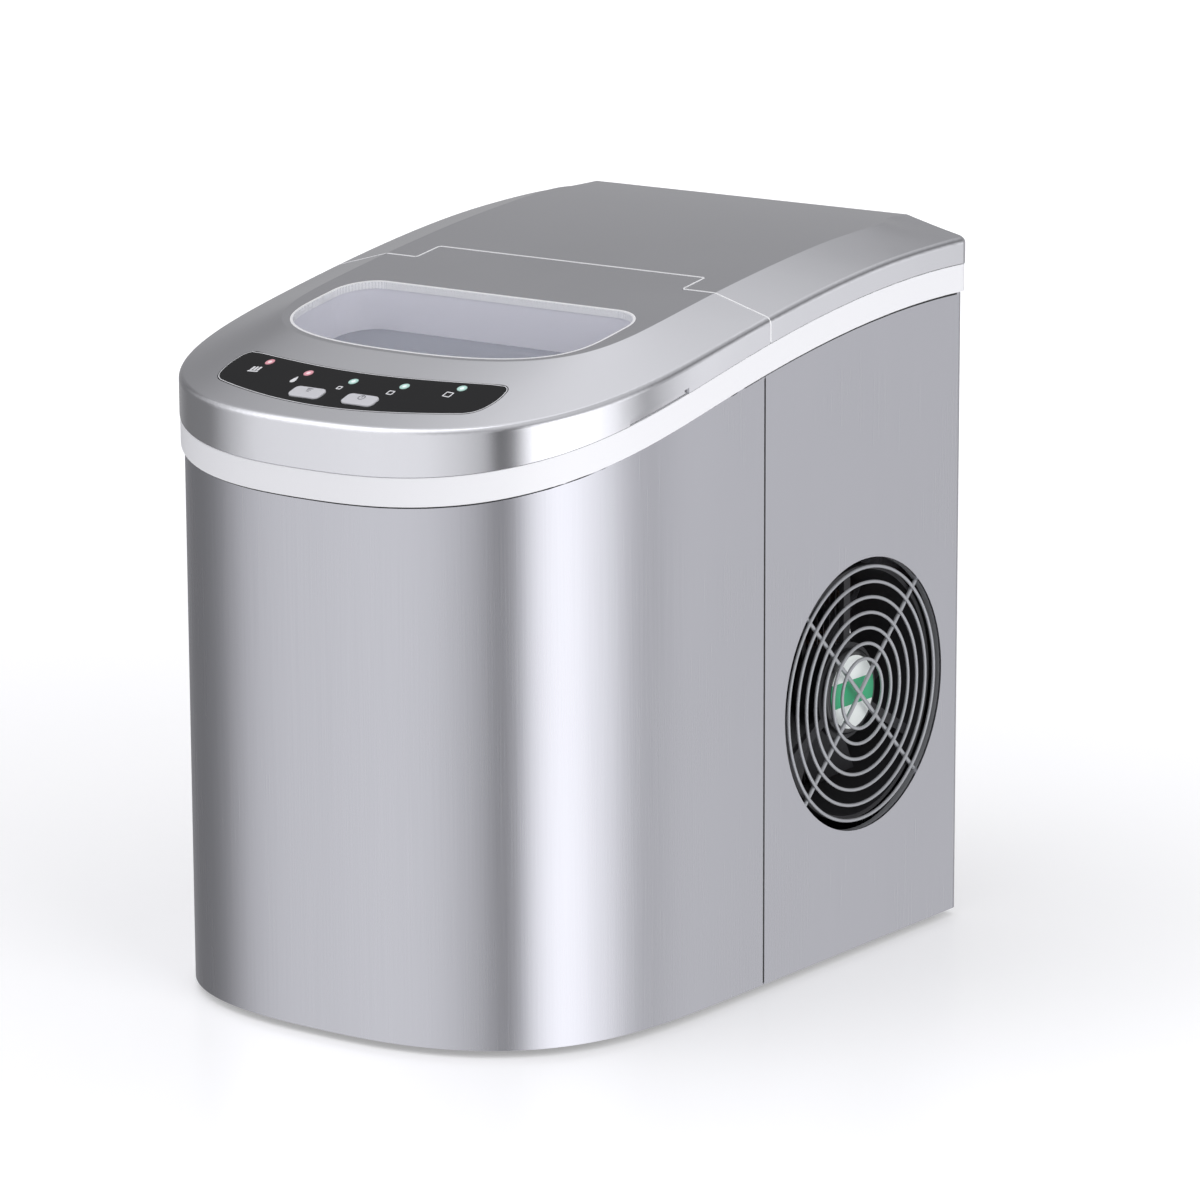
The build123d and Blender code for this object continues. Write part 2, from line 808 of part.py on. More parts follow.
def pump_impeller():
    x, y = pump_point()
    low, high = pump_levels()
    hub_low = low + 2.4
    wheel = rod(12.5, (x, y, hub_low), (x, y, hub_low + 2.0))
    wheel += rod(4.5, (x, y, hub_low), (x, y, hub_low + 7.0))
    for step in range(6):
        vane = block((3.0, 12.0), (-0.8, 0.8), (hub_low + 1.0, min(hub_low + 9.0, high - 3.5)))
        wheel += Pos(x, y, 0) * Rot(0, 0, 60 * step) * vane
    return wheel


def water_hose():
    x, y = pump_point()
    start = pump_levels()[0] + 8.0
    lane = divider_y - hose_channel / 2
    end_y = tray_axis_y - 5.5
    hose = pipe(
        hose_radius,
        7.0,
        (x, y + 21.0, start),
        (x, lane, start),
        (x, lane, spout_z()),
        (x, end_y, spout_z()),
        (x, end_y, spout_z() - 8.0),
    )
    return hose


def tub_inner_half():
    return half_width - tub_inset - tub_wall


def unit_plate():
    """Steel plate across the tub that carries the ice-making unit."""
    top = unit_z + 10.0
    plate = block((-far, far), (tray_axis_y - 56.0, tray_axis_y - 6.0), (top, top + 2.0))
    return plate & column(tub_outer(-tub_wall - 0.1))


def evaporator():
    y = tray_axis_y - 23.0
    half = tray_size[0] / 2 - 3.0
    body = block((-half, half), (y - 13.0, y + 13.0), (unit_z, unit_z + 10.0))
    rows = [(y - 7.0, 5), (y + 7.0, 4)]
    for row_y, count in rows:
        for step in range(count):
            x = (step - (count - 1) / 2) * finger_pitch
            finger = rod(finger_radius, (x, row_y, unit_z - finger_length), (x, row_y, unit_z))
            body += fillet(finger.faces().sort_by(Axis.Z)[0].edges(), 2.5)
    return body


def water_tray():
    length, width, depth = tray_size
    rear = tray_axis_y - 3.0
    top = tray_axis_z - 4.0
    half = length / 2
    tray = block((-half, half), (rear - width, rear), (top - depth, top))
    low = fillet(tray.edges().filter_by(Axis.X).sort_by(Axis.Z)[:2], 8.0)
    inner = block(
        (-half + tray_wall, half - tray_wall),
        (rear - width + tray_wall, rear - tray_wall),
        (top - depth + tray_wall, top + 5.0),
    )
    inner = fillet(inner.edges().filter_by(Axis.X).sort_by(Axis.Z)[:2], 6.0)
    tray = low - inner
    for side in (-1, 1):
        x = side * half
        ear = rod(6.0, (x, tray_axis_y, tray_axis_z), (x - side * tray_wall, tray_axis_y, tray_axis_z))
        cheek = block(
            (min(x, x - side * tray_wall), max(x, x - side * tray_wall)),
            (tray_axis_y - 14.0, tray_axis_y),
            (top - 8.0, tray_axis_z),
        )
        end = side * (half + 1.5 + bracket_thickness)
        tray += ear + cheek + rod(stub_radius, (x, tray_axis_y, tray_axis_z), (end, tray_axis_y, tray_axis_z))
    return tray


def bracket_x():
    low = tray_size[0] / 2 + 1.5
    return low, low + bracket_thickness


def unit_brackets():
    low, high = bracket_x()
    brackets = []
    for side in (-1, 1):
        x = (min(side * low, side * high), max(side * low, side * high))
        plate = block(x, (shovel_y - 6.0, tray_axis_y + 8.0), (tray_axis_z - 8.0, unit_z + 10.0))
        for y, z, radius in [(tray_axis_y, tray_axis_z, stub_radius), (shovel_y, shovel_z, 3.0)]:
            plate -= rod(radius + running_gap, (x[0] - 1.0, y, z), (x[1] + 1.0, y, z))
        brackets.append(plate)
    return Compound(children=brackets)


def tray_motor():
    start = bracket_x()[1]
    body = block((start, start + 22.0), (tray_axis_y - 16.0, tray_axis_y + 14.0), (tray_axis_z - 14.0, tray_axis_z + 16.0))
    return fillet(body.edges().filter_by(Axis.X), 4.0)


def ice_shovel():
    """Comb blade on its own shaft, in front of the water tray."""
    end = bracket_x()[1]
    shaft = rod(3.0, (-end, shovel_y, shovel_z), (end, shovel_y, shovel_z))
    half = tray_size[0] / 2 - 1.0
    low = shovel_z - shovel_blade
    blade = block((-half, half), (shovel_y - 1.25, shovel_y + 1.25), (low, shovel_z))
    for step in range(8):
        x = (step - 3.5) * 15.0
        blade -= block((x - 3.0, x + 3.0), (shovel_y - 3.0, shovel_y + 3.0), (low - 1.0, low + 22.0))
    return shaft + blade


def ice_sensors():
    """Infrared emitter and receiver that look across the top of the basket."""
    blocks = []
    y = basket_rear_y - 12.0
    for side in (-1, 1):
        inner = tub_inner_half() - 9.0
        x = (min(side * inner, side * far), max(side * inner, side * far))
        body = block(x, (y - 7.0, y + 7.0), (basket_top + 5.0, basket_top + 15.0))
        blocks.append(body & column(tub_outer(-tub_wall)))
    return Compound(children=blocks)


def level_probes():
    """Two probes in the tub's rear wall that sense low water."""
    probes = []
    for x in (70.0, 84.0):
        z = tub_floor_height + 22.0
        rear = tub_rear_y - tub_wall
        probe = rod(1.5, (x, rear - 14.0, z), (x, rear, z)) + rod(4.0, (x, rear - 4.0, z), (x, rear, z))
        probes.append(probe)
    return Compound(children=probes)


# ---------------------------------------------------------------- refrigeration bay


def grille_ring_radii():
    return [grille_radius - 4.5 - ring_pitch * step for step in range(7)]


def fan_grille():
    """Wire guard: seven rings on two crossed wires, held by a rim behind the steel."""
    x = side_inner - 0.3
    guard = Pos(x, fan_y, fan_height) * Rot(0, 90, 0)
    wires = [guard * Torus(radius, ring_wire) for radius in grille_ring_radii()]
    cross_x = side_inner - 0.3 - cross_wire - ring_wire / 2
    for turn in (45, 135):
        place = Pos(cross_x, fan_y, fan_height) * Rot(turn, 0, 0)
        wires.append(place * Rot(90, 0, 0) * Cylinder(cross_wire, 2 * (grille_radius + 1.0)))
    rim = tube(
        grille_radius + 5.0,
        grille_radius,
        (side_inner - 3.0, fan_y, fan_height),
        (side_inner, fan_y, fan_height),
    )
    for wire in wires:
        rim += wire
    return rim


def fan_motor_body():
    """Motor with its back to the guard."""
    x = fan_motor_x
    motor = rod(20.0, (x - 18.0, fan_y, fan_height), (x, fan_y, fan_height))
    motor = fillet(motor.faces().sort_by(Axis.X)[-1].edges(), 2.0)
    return motor - rod(2.5 + running_gap, (x - 19.0, fan_y, fan_height), (x - 8.0, fan_y, fan_height))


def fan_label():
    x = fan_motor_x
    return rod(17.0, (x, fan_y, fan_height), (x + 0.3, fan_y, fan_height))


def fan_rotor():
    """Hub, shaft and pitched blades."""
    start = fan_motor_x - 34.0
    hub = rod(14.0, (start, fan_y, fan_height), (start + 14.0, fan_y, fan_height))
    shaft = rod(2.5, (start, fan_y, fan_height), (fan_motor_x - 9.0, fan_y, fan_height))
    rotor = hub + shaft
    for step in range(blade_count):
        blade = Pos(0, 0, (fan_radius + 10.0) / 2) * Rot(0, 0, 35) * Box(1.6, 22.0, fan_radius - 10.0)
        rotor += Pos(start + 7.0, fan_y, fan_height) * Rot(360 / blade_count * step, 0, 0) * blade
    return rotor


def fan_shroud():
    """Air duct from the condenser to the guard, with three struts that hold the motor."""
    inner = fan_radius + 3.0
    start = condenser_x + condenser_size[0] / 2 + 1.0
    duct = tube(inner + 2.0, inner, (start, fan_y, fan_height), (side_inner - 3.2, fan_y, fan_height))
    low = divider_y + divider_thickness + 1.0
    plate = block((start, start + 2.0), (low, fan_y + inner + 4.0), (fan_height - 66.0, fan_height + 66.0))
    duct += plate - rod(inner, (start - 1.0, fan_y, fan_height), (start + 5.0, fan_y, fan_height))
    for turn in (0, 120, 240):
        strut = block((-2.5, 0.0), (-2.5, 2.5), (19.0, inner + 1.0))
        duct += Pos(fan_motor_x - 3.0, fan_y, fan_height) * Rot(turn, 0, 0) * strut
    ring = tube(22.5, 20.0, (fan_motor_x - 5.5, fan_y, fan_height), (fan_motor_x - 3.0, fan_y, fan_height))
    duct += ring
    return duct - rod(20.0, (fan_motor_x - 20.0, fan_y, fan_height), (fan_motor_x, fan_y, fan_height))


def condenser_rows():
    count = 6
    pitch = 20.0
    return [fan_height + (step - (count - 1) / 2) * pitch for step in reversed(range(count))]


def condenser_span():
    middle = fan_y + condenser_shift
    return middle - condenser_size[1] / 2, middle + condenser_size[1] / 2


def condenser_run_y():
    return condenser_span()[1] + condenser_overhang


def condenser_tube():
    """One pipe: down from the compressor, six passes through the fins, out to the drier."""
    low, high = condenser_span()
    near = condenser_run_y()
    away = low - condenser_overhang
    x = condenser_x
    points = [(x, near, condenser_rows()[0] + 24.0)]
    for step, z in enumerate(condenser_rows()):
        ends = (near, away) if step % 2 == 0 else (away, near)
        points += [(x, ends[0], z), (x, ends[1], z)]
    bottom = condenser_rows()[-1] - 22.0
    points += [(x, near, bottom), (drier_x(), near, bottom), (drier_x(), near, drier_low())]
    return pipe(pipe_radius, 7.0, *points)


def drier_x():
    return condenser_x - 34.0


def drier_low():
    return condenser_rows()[-1] - 6.0


def condenser_fins():
    low, high = condenser_span()
    depth, length, height = condenser_size
    count = int(length / fin_pitch)
    template = Rectangle(depth, height)
    for z in condenser_rows():
        template -= Pos(0, z - fan_height) * Circle(pipe_radius + running_gap)
    fins = []
    for step in range(count + 1):
        y = low + (high - low) * step / count
        thick = 1.4 if step in (0, count) else 0.7
        place = Pos(condenser_x, y + thick / 2, fan_height) * Rot(90, 0, 0)
        fins.append(place * extrude(template, amount=thick))
    return Compound(children=fins)


def filter_drier():
    y = condenser_run_y()
    low = drier_low()
    x = drier_x()
    body = rod(8.0, (x, y, low + 6.0), (x, y, low + 62.0))
    body = fillet(body.edges(), 3.0)
    body += rod(4.5, (x, y, low), (x, y, low + 10.0))
    return body + rod(2.5, (x, y, low + 58.0), (x, y, low + 70.0))


def capillary_tube():
    y = condenser_run_y()
    start = drier_low() + 70.0
    x = drier_x()
    end_x = line_places()[2][0]
    rise = line_z() - 18.0
    return pipe(
        capillary_radius,
        7.0,
        (x, y, start),
        (x, y, rise),
        (end_x, divider_y + 36.0, rise),
        (end_x, divider_y + 36.0, line_z()),
        (end_x, tray_axis_y - 10.0, line_z()),
    )


def port_points():
    """Suction, discharge and hot-gas ports on top of the compressor."""
    x = compressor_x
    y = compressor_y
    return [(x - 21.0, y - 12.0), (x + 22.0, y - 7.0), (x + 7.0, y + 23.0)]


def compressor():
    base = (compressor_x, compressor_y)
    can = rod(compressor_radius, (*base, compressor_z), (*base, compressor_z + compressor_height))
    can = fillet(can.faces().sort_by(Axis.Z)[-1].edges(), 24.0)
    can = fillet(can.faces().sort_by(Axis.Z)[0].edges(), 14.0)
    seam = compressor_z + 0.55 * compressor_height
    can += rod(compressor_radius + 1.5, (*base, seam), (*base, seam + 3.0))
    for x, y in port_points():
        can += rod(5.0, (x, y, compressor_z + compressor_height - 30.0), (x, y, port_top))
    return can


def grommet_points():
    offset_x = compressor_radius - 6.0
    return [(compressor_x + sx * offset_x, compressor_y + sy * offset_x) for sx in (-1, 1) for sy in (-1, 1)]


def compressor_plate():
    """Foot plate that the compressor is welded to."""
    reach = compressor_radius
    plate = block(
        (compressor_x - reach, compressor_x + reach),
        (compressor_y - reach, compressor_y + reach),
        (compressor_z - 3.0, compressor_z),
    )
    plate = fillet(plate.edges().filter_by(Axis.Z), 10.0)
    for x, y in grommet_points():
        plate -= rod(5.0, (x, y, compressor_z - 10.0), (x, y, compressor_z + 10.0))
    return plate


def compressor_grommets():
    low = foot_height + tray_floor
    grommets = []
    for x, y in grommet_points():
        body = rod(8.0, (x, y, low), (x, y, compressor_z - 3.0))
        body += rod(4.9, (x, y, low), (x, y, compressor_z + 1.0))
        body += rod(7.5, (x, y, compressor_z), (x, y, compressor_z + 3.0))
        grommets.append(body - rod(2.5, (x, y, 0.0), (x, y, 100.0)))
    return Compound(children=grommets)


def compressor_bolts():
    low = foot_height + tray_floor
    bolts = []
    for x, y in grommet_points():
        top = compressor_z + 3.0
        head = extrude(Pos(x, y, top) * RegularPolygon(4.5, 6), amount=3.5)
        bolts.append(head + rod(2.4, (x, y, low), (x, y, top)))
    return Compound(children=bolts)


def terminal_cover():
    x = compressor_x + compressor_radius
    z = compressor_z + 0.28 * compressor_height
    cover = block((x - 14.0, x + 11.0), (compressor_y - 16.0, compressor_y + 16.0), (z - 17.0, z + 17.0))
    cover = fillet(cover.faces().sort_by(Axis.X)[-1].edges(), 3.0)
    return cover - rod(compressor_radius + 0.05, (compressor_x, compressor_y, 0.0), (compressor_x, compressor_y, 300.0))


def suction_line():
    x, y = port_points()[0]
    start_x = line_places()[1][0]
    return pipe(
        pipe_radius,
        12.0,
        (start_x, tray_axis_y - 10.0, line_z()),
        (start_x, divider_y + 46.0, line_z()),
        (x, y, line_z()),
        (x, y, port_top),
    )


def discharge_line():
    x, y = port_points()[1]
    inlet = condenser_rows()[0] + 24.0
    top = max(port_top, inlet) + 26.0
    end_y = condenser_run_y()
    return pipe(
        pipe_radius,
        12.0,
        (x, y, port_top),
        (x, y, top),
        (condenser_x, end_y, top),
        (condenser_x, end_y, inlet),
    )


def valve_place():
    return (0.0, divider_y + 54.0, port_top + 26.0)


def hot_gas_valve():
    x, y, z = valve_place()
    body = block((x - 10.0, x + 10.0), (y - 10.0, y + 10.0), (z - 9.0, z + 9.0))
    coil = rod(11.0, (x, y, z + 9.0), (x, y, z + 27.0))
    return body + fillet(coil.edges(), 1.5)


def hot_gas_tubes():
    x, y = port_points()[2]
    valve_x, valve_y, valve_z = valve_place()
    entry = pipe(
        pipe_radius - 1.0,
        10.0,
        (x, y, port_top),
        (x, y, valve_z),
        (valve_x, valve_y + 26.0, valve_z),
        (valve_x, valve_y + 10.0, valve_z),
    )
    leaving = pipe(
        pipe_radius - 1.0,
        10.0,
        (valve_x, valve_y - 10.0, valve_z),
        (valve_x, valve_y - 32.0, valve_z),
        (valve_x, valve_y - 32.0, line_z()),
        (valve_x, tray_axis_y - 10.0, line_z()),
    )
    return Compound(children=[entry, leaving])


def board_box():
    left = half_width - 84.0
    return (left, left + 72.0), (fan_height + 80.0, fan_height + 134.0)


def power_board():
    x, z = board_box()
    y = divider_y + divider_thickness + 7.0
    board = block(x, (y, y + 1.6), z)
    parts = [
        block((x[0] + 6.0, x[0] + 30.0), (y + 1.0, y + 20.0), (z[0] + 6.0, z[0] + 26.0)),
        block((x[0] + 36.0, x[0] + 54.0), (y + 1.0, y + 17.0), (z[0] + 8.0, z[0] + 24.0)),
        block((x[0] + 8.0, x[0] + 60.0), (y + 1.0, y + 9.0), (z[1] - 14.0, z[1] - 6.0)),
        rod(6.0, (x[1] - 10.0, y + 1.0, z[0] + 14.0), (x[1] - 10.0, y + 18.0, z[0] + 14.0)),
    ]
    for item in parts:
        board += item
    return board


def board_standoffs():
    x, z = board_box()
    y = divider_y + divider_thickness
    posts = []
    for post_x in (x[0] + 4.0, x[1] - 4.0):
        for post_z in (z[0] + 4.0, z[1] - 4.0):
            posts.append(rod(2.5, (post_x, y, post_z), (post_x, y + 7.0, post_z)))
    return Compound(children=posts)


# ---------------------------------------------------------------- write every node

makers = [
    lid_frame, lid_window, window_seal, lid_liner, inner_window, lid_screws, control_overlay,
    red_indicators, green_indicators, select_button, power_button, control_board,
    rear_cover, hinge_brackets, hinge_pins, upper_frame, front_shell, rear_shell, housing_screws,
    cord_gland, base_tray, rubber_feet, water_tub, tub_insulation, ice_basket, drain_pipe, drain_cap,
    divider_panel, pump_motor, pump_housing, pump_impeller, water_hose, unit_plate, evaporator,
    water_tray, unit_brackets, tray_motor, ice_shovel, ice_sensors, level_probes, fan_grille,
    fan_motor_body, fan_label, fan_rotor, fan_shroud, condenser_tube, condenser_fins, filter_drier,
    capillary_tube, compressor, compressor_plate, compressor_grommets, compressor_bolts,
    terminal_cover, suction_line, discharge_line, hot_gas_valve, hot_gas_tubes, power_board,
    board_standoffs,
]

os.makedirs("parts", exist_ok=True)
for maker in makers:
    export_step(maker(), f"parts/{maker.__name__}.step")
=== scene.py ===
"""Countertop ice maker: finishes, printed marks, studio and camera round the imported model."""
import math

import bpy
from mathutils import Matrix, Vector
from mathutils.bvhtree import BVHTree


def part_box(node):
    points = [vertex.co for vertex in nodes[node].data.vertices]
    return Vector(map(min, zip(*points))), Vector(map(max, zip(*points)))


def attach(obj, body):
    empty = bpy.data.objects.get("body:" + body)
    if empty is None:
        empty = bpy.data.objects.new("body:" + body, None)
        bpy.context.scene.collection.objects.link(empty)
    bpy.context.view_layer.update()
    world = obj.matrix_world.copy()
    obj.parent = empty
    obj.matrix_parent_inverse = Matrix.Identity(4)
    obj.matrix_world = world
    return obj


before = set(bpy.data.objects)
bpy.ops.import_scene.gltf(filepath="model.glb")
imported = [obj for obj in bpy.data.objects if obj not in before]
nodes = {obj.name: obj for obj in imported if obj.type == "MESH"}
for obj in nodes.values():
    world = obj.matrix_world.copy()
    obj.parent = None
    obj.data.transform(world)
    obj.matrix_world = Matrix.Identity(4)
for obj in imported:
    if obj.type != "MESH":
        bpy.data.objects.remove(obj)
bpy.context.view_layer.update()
scene = bpy.context.scene

# ---------------------------------------------------------------- camera

CAMERA_AZIMUTH = math.radians(36.926)
CAMERA_ELEVATION = math.radians(12.881)
CAMERA_ROLL = math.radians(-0.2263)
CAMERA_DISTANCE = 2.50814
CAMERA_TARGET = Vector((0.034221, 0.000015, 0.170017))
LENS_MM = 166.775
SENSOR_MM = 36.0
CLIP_NEAR = 0.05
CLIP_FAR = 50.0


def make_camera():
    flat = math.cos(CAMERA_ELEVATION)
    back = Vector(
        (
            math.sin(CAMERA_AZIMUTH) * flat,
            -math.cos(CAMERA_AZIMUTH) * flat,
            math.sin(CAMERA_ELEVATION),
        )
    )
    right = Vector((math.cos(CAMERA_AZIMUTH), math.sin(CAMERA_AZIMUTH), 0.0))
    up = back.cross(right)
    turn_cos = math.cos(CAMERA_ROLL)
    turn_sin = math.sin(CAMERA_ROLL)
    across = right * turn_cos + up * turn_sin
    upward = up * turn_cos - right * turn_sin
    camera = bpy.data.objects.new("camera", bpy.data.cameras.new("camera"))
    camera.data.lens = LENS_MM
    camera.data.sensor_width = SENSOR_MM
    camera.data.clip_start = CLIP_NEAR
    camera.data.clip_end = CLIP_FAR
    place = Matrix((across, upward, back)).transposed().to_4x4()
    place.translation = CAMERA_TARGET + back * CAMERA_DISTANCE
    camera.matrix_world = place
    scene.collection.objects.link(camera)
    scene.camera = camera


make_camera()
scene.view_settings.view_transform = "Standard"
scene.view_settings.look = "None"

# ---------------------------------------------------------------- shader helpers


class Shader:
    """Small wrapper that adds and links shader nodes."""

    def __init__(self, tree):
        self.tree = tree

    def add(self, kind, **settings):
        node = self.tree.nodes.new(kind)
        for name, value in settings.items():
            setattr(node, name, value)
        return node

    def link(self, output, socket):
        self.tree.links.new(output, socket)

    def math(self, operation, first, second=None):
        node = self.add("ShaderNodeMath", operation=operation)
        for index, value in enumerate((first, second)):
            if value is None:
                continue
            if isinstance(value, (int, float)):
                node.inputs[index].default_value = value
            else:
                self.link(value, node.inputs[index])
        return node.outputs[0]

    def place(self, scale=(1.0, 1.0, 1.0)):
        coords = self.add("ShaderNodeTexCoord")
        mapping = self.add("ShaderNodeMapping")
        mapping.inputs["Scale"].default_value = scale
        self.link(coords.outputs["Object"], mapping.inputs["Vector"])
        return mapping.outputs["Vector"]

    def noise(self, scale, detail=2.0, stretch=(1.0, 1.0, 1.0)):
        node = self.add("ShaderNodeTexNoise")
        node.inputs["Scale"].default_value = scale
        node.inputs["Detail"].default_value = detail
        self.link(self.place(stretch), node.inputs["Vector"])
        return node.outputs["Fac"]

    def cells(self, scale, feature="F1"):
        node = self.add("ShaderNodeTexVoronoi", feature=feature)
        node.inputs["Scale"].default_value = scale
        self.link(self.place(), node.inputs["Vector"])
        return node.outputs["Distance"]

    def span(self, value, low, high, start=0.0, end=1.0):
        node = self.add("ShaderNodeMapRange")
        self.link(value, node.inputs["Value"])
        node.inputs["From Min"].default_value = start
        node.inputs["From Max"].default_value = end
        node.inputs["To Min"].default_value = low
        node.inputs["To Max"].default_value = high
        return node.outputs["Result"]

    def ramp(self, value, stops):
        node = self.add("ShaderNodeValToRGB")
        elements = node.color_ramp.elements
        while len(elements) < len(stops):
            elements.new(0.5)
        for element, (position, colour) in zip(elements, stops):
            element.position = position
            element.color = colour if len(colour) == 4 else (*colour, 1.0)
        self.link(value, node.inputs["Fac"])
        return node.outputs["Color"]

    def blend(self, factor, first, second):
        node = self.add("ShaderNodeMix", data_type="RGBA")
        sockets = {s.identifier: s for s in node.inputs}
        self.put(sockets["Factor_Float"], factor)
        self.put(sockets["A_Color"], first)
        self.put(sockets["B_Color"], second)
        return {s.identifier: s for s in node.outputs}["Result_Color"]

    def put(self, socket, value):
        if hasattr(value, "is_linked"):
            self.link(value, socket)
        elif isinstance(value, tuple) and len(value) == 3:
            socket.default_value = (*value, 1.0)
        else:
            socket.default_value = value


def principled(name, colour, roughness, metallic=0.0, **settings):
    """A Principled material with constants on its sockets, and its Shader wrapper."""
    material = bpy.data.materials.new(name)
    material.use_nodes = True
    shader = Shader(material.node_tree)
    surface = material.node_tree.nodes["Principled BSDF"]
    surface.inputs["Base Color"].default_value = (*colour, 1.0)
    surface.inputs["Roughness"].default_value = roughness
    surface.inputs["Metallic"].default_value = metallic
    for socket, value in settings.items():
        surface.inputs[socket.replace("_", " ")].default_value = value
    return material, shader, surface


def add_bump(shader, surface, height, distance, strength=1.0):
    bump = shader.add("ShaderNodeBump")
    bump.inputs["Strength"].default_value = strength
    bump.inputs["Distance"].default_value = distance
    shader.link(height, bump.inputs["Height"])
    shader.link(bump.outputs["Normal"], surface.inputs["Normal"])


def tint(shader, surface, factor, dark, light):
    shader.link(shader.blend(factor, dark, light), surface.inputs["Base Color"])


# ---------------------------------------------------------------- materials


def brushed(name, dark, light, roughness, stretch, anisotropy=0.0, grain=900.0):
    """Sheet metal with fine grain along the axis that stretch leaves small."""
    material, shader, surface = principled(name, light, sum(roughness) / 2, 1.0)
    streaks = shader.noise(grain, 3.0, stretch)
    clouds = shader.noise(14.0, 2.0)
    tint(shader, surface, shader.span(streaks, 0.0, 1.0, 0.3, 0.7), dark, light)
    fine_share = shader.math("MULTIPLY", streaks, 0.6)
    broad_share = shader.math("MULTIPLY", clouds, 0.4)
    uneven = shader.math("ADD", fine_share, broad_share)
    shader.link(shader.span(uneven, roughness[0], roughness[1], 0.3, 0.7), surface.inputs["Roughness"])
    add_bump(shader, surface, streaks, 0.000008, 0.15)
    if anisotropy:
        surface.inputs["Anisotropic"].default_value = anisotropy
        tangent = shader.add("ShaderNodeTangent", direction_type="RADIAL", axis="Z")
        shader.link(tangent.outputs["Tangent"], surface.inputs["Tangent"])
    return material


def moulded(name, colour, roughness, grain=900.0, depth=0.00003, uneven=0.03, **settings):
    """Moulded plastic with a fine even texture and slight unevenness of gloss."""
    material, shader, surface = principled(name, colour, roughness, **settings)
    fine = shader.noise(grain, 3.0)
    broad = shader.noise(22.0, 2.0)
    shader.link(
        shader.span(broad, roughness * (1 - 2 * uneven), roughness * (1 + 2 * uneven), 0.3, 0.7),
        surface.inputs["Roughness"],
    )
    dark = tuple(channel * (1 - uneven) for channel in colour)
    tint(shader, surface, fine, dark, colour)
    add_bump(shader, surface, fine, depth, 0.5)
    return material


def painted(name, colour, roughness, flake=0.06):
    """Metallic paint on plastic: fine flake under a clear coat."""
    material, shader, surface = principled(
        name, colour, roughness, 1.0, Coat_Weight=0.2, Coat_Roughness=0.1
    )
    flakes = shader.cells(2600.0)
    dark = tuple(channel * (1.0 - flake) for channel in colour)
    tint(shader, surface, shader.span(flakes, 0.0, 1.0, 0.1, 0.8), dark, colour)
    broad = shader.noise(16.0, 2.0)
    shader.link(
        shader.span(broad, roughness - 0.02, roughness + 0.02, 0.3, 0.7),
        surface.inputs["Roughness"],
    )
    add_bump(shader, surface, shader.noise(1500.0, 2.0), 0.00001, 0.25)
    return material


def see_through(name, colour, roughness, alpha):
    """Clear plastic, as one plain surface with an even transparency."""
    material, _, surface = principled(name, colour, roughness, Alpha=alpha)
    surface.inputs["IOR"].default_value = 1.5
    return material


def circuit(name):
    """Green circuit board with a pattern of paler tracks."""
    material, shader, surface = principled(name, (0.03, 0.2, 0.09), 0.35)
    tracks = shader.add("ShaderNodeTexBrick", offset=0.35)
    tracks.inputs["Scale"].default_value = 260.0
    tracks.inputs["Mortar Size"].default_value = 0.012
    tracks.inputs["Color1"].default_value = (0.02, 0.15, 0.06, 1.0)
    tracks.inputs["Color2"].default_value = (0.03, 0.22, 0.09, 1.0)
    tracks.inputs["Mortar"].default_value = (0.12, 0.42, 0.2, 1.0)
    shader.link(shader.place(), tracks.inputs["Vector"])
    shader.link(tracks.outputs["Color"], surface.inputs["Base Color"])
    return material


def foamed(name):
    """Expanded foam made of small beads."""
    material, shader, surface = principled(name, (0.9, 0.9, 0.87), 0.85)
    beads = shader.cells(260.0)
    edge_share = shader.span(beads, 0.0, 1.0, 0.1, 0.7)
    tint(shader, surface, edge_share, (0.93, 0.93, 0.9), (0.78, 0.78, 0.75))
    add_bump(shader, surface, beads, 0.0006, 0.8)
    return material


def tarnished(name, bright, dull, roughness):
    """Bare metal with duller, rougher patches."""
    material, shader, surface = principled(name, bright, roughness, 1.0)
    patches = shader.noise(45.0, 5.0)
    tint(shader, surface, shader.span(patches, 0.0, 1.0, 0.35, 0.65), dull, bright)
    shader.link(
        shader.span(patches, roughness + 0.12, roughness, 0.35, 0.65),
        surface.inputs["Roughness"],
    )
    return material


def lit_lens(name, edge, core, centres):
    """A small lens: pale core inside a tinted ring."""
    material, shader, surface = principled(name, edge, 0.15, Coat_Weight=0.5)
    coords = shader.add("ShaderNodeTexCoord")
    nearest = None
    for x, y in centres:
        offset = shader.add("ShaderNodeVectorMath", operation="SUBTRACT")
        shader.link(coords.outputs["Object"], offset.inputs[0])
        offset.inputs[1].default_value = (x, y, 0.0)
        flat = shader.add("ShaderNodeVectorMath", operation="MULTIPLY")
        shader.link(offset.outputs[0], flat.inputs[0])
        flat.inputs[1].default_value = (1.0, 1.0, 0.0)
        length = shader.add("ShaderNodeVectorMath", operation="LENGTH")
        shader.link(flat.outputs[0], length.inputs[0])
        distance = length.outputs["Value"]
        nearest = distance if nearest is None else shader.math("MINIMUM", nearest, distance)
    stops = [
        (0.0, core),
        (0.35, core),
        (0.5, edge),
        (0.8, edge),
        (1.0, tuple(channel * 0.5 for channel in edge)),
    ]
    colour = shader.ramp(shader.span(nearest, 0.0, 1.0, 0.0, LAMP_RADIUS), stops)
    shader.link(colour, surface.inputs["Base Color"])
    shader.link(colour, surface.inputs["Emission Color"])
    surface.inputs["Emission Strength"].default_value = LAMP_GLOW
    return material


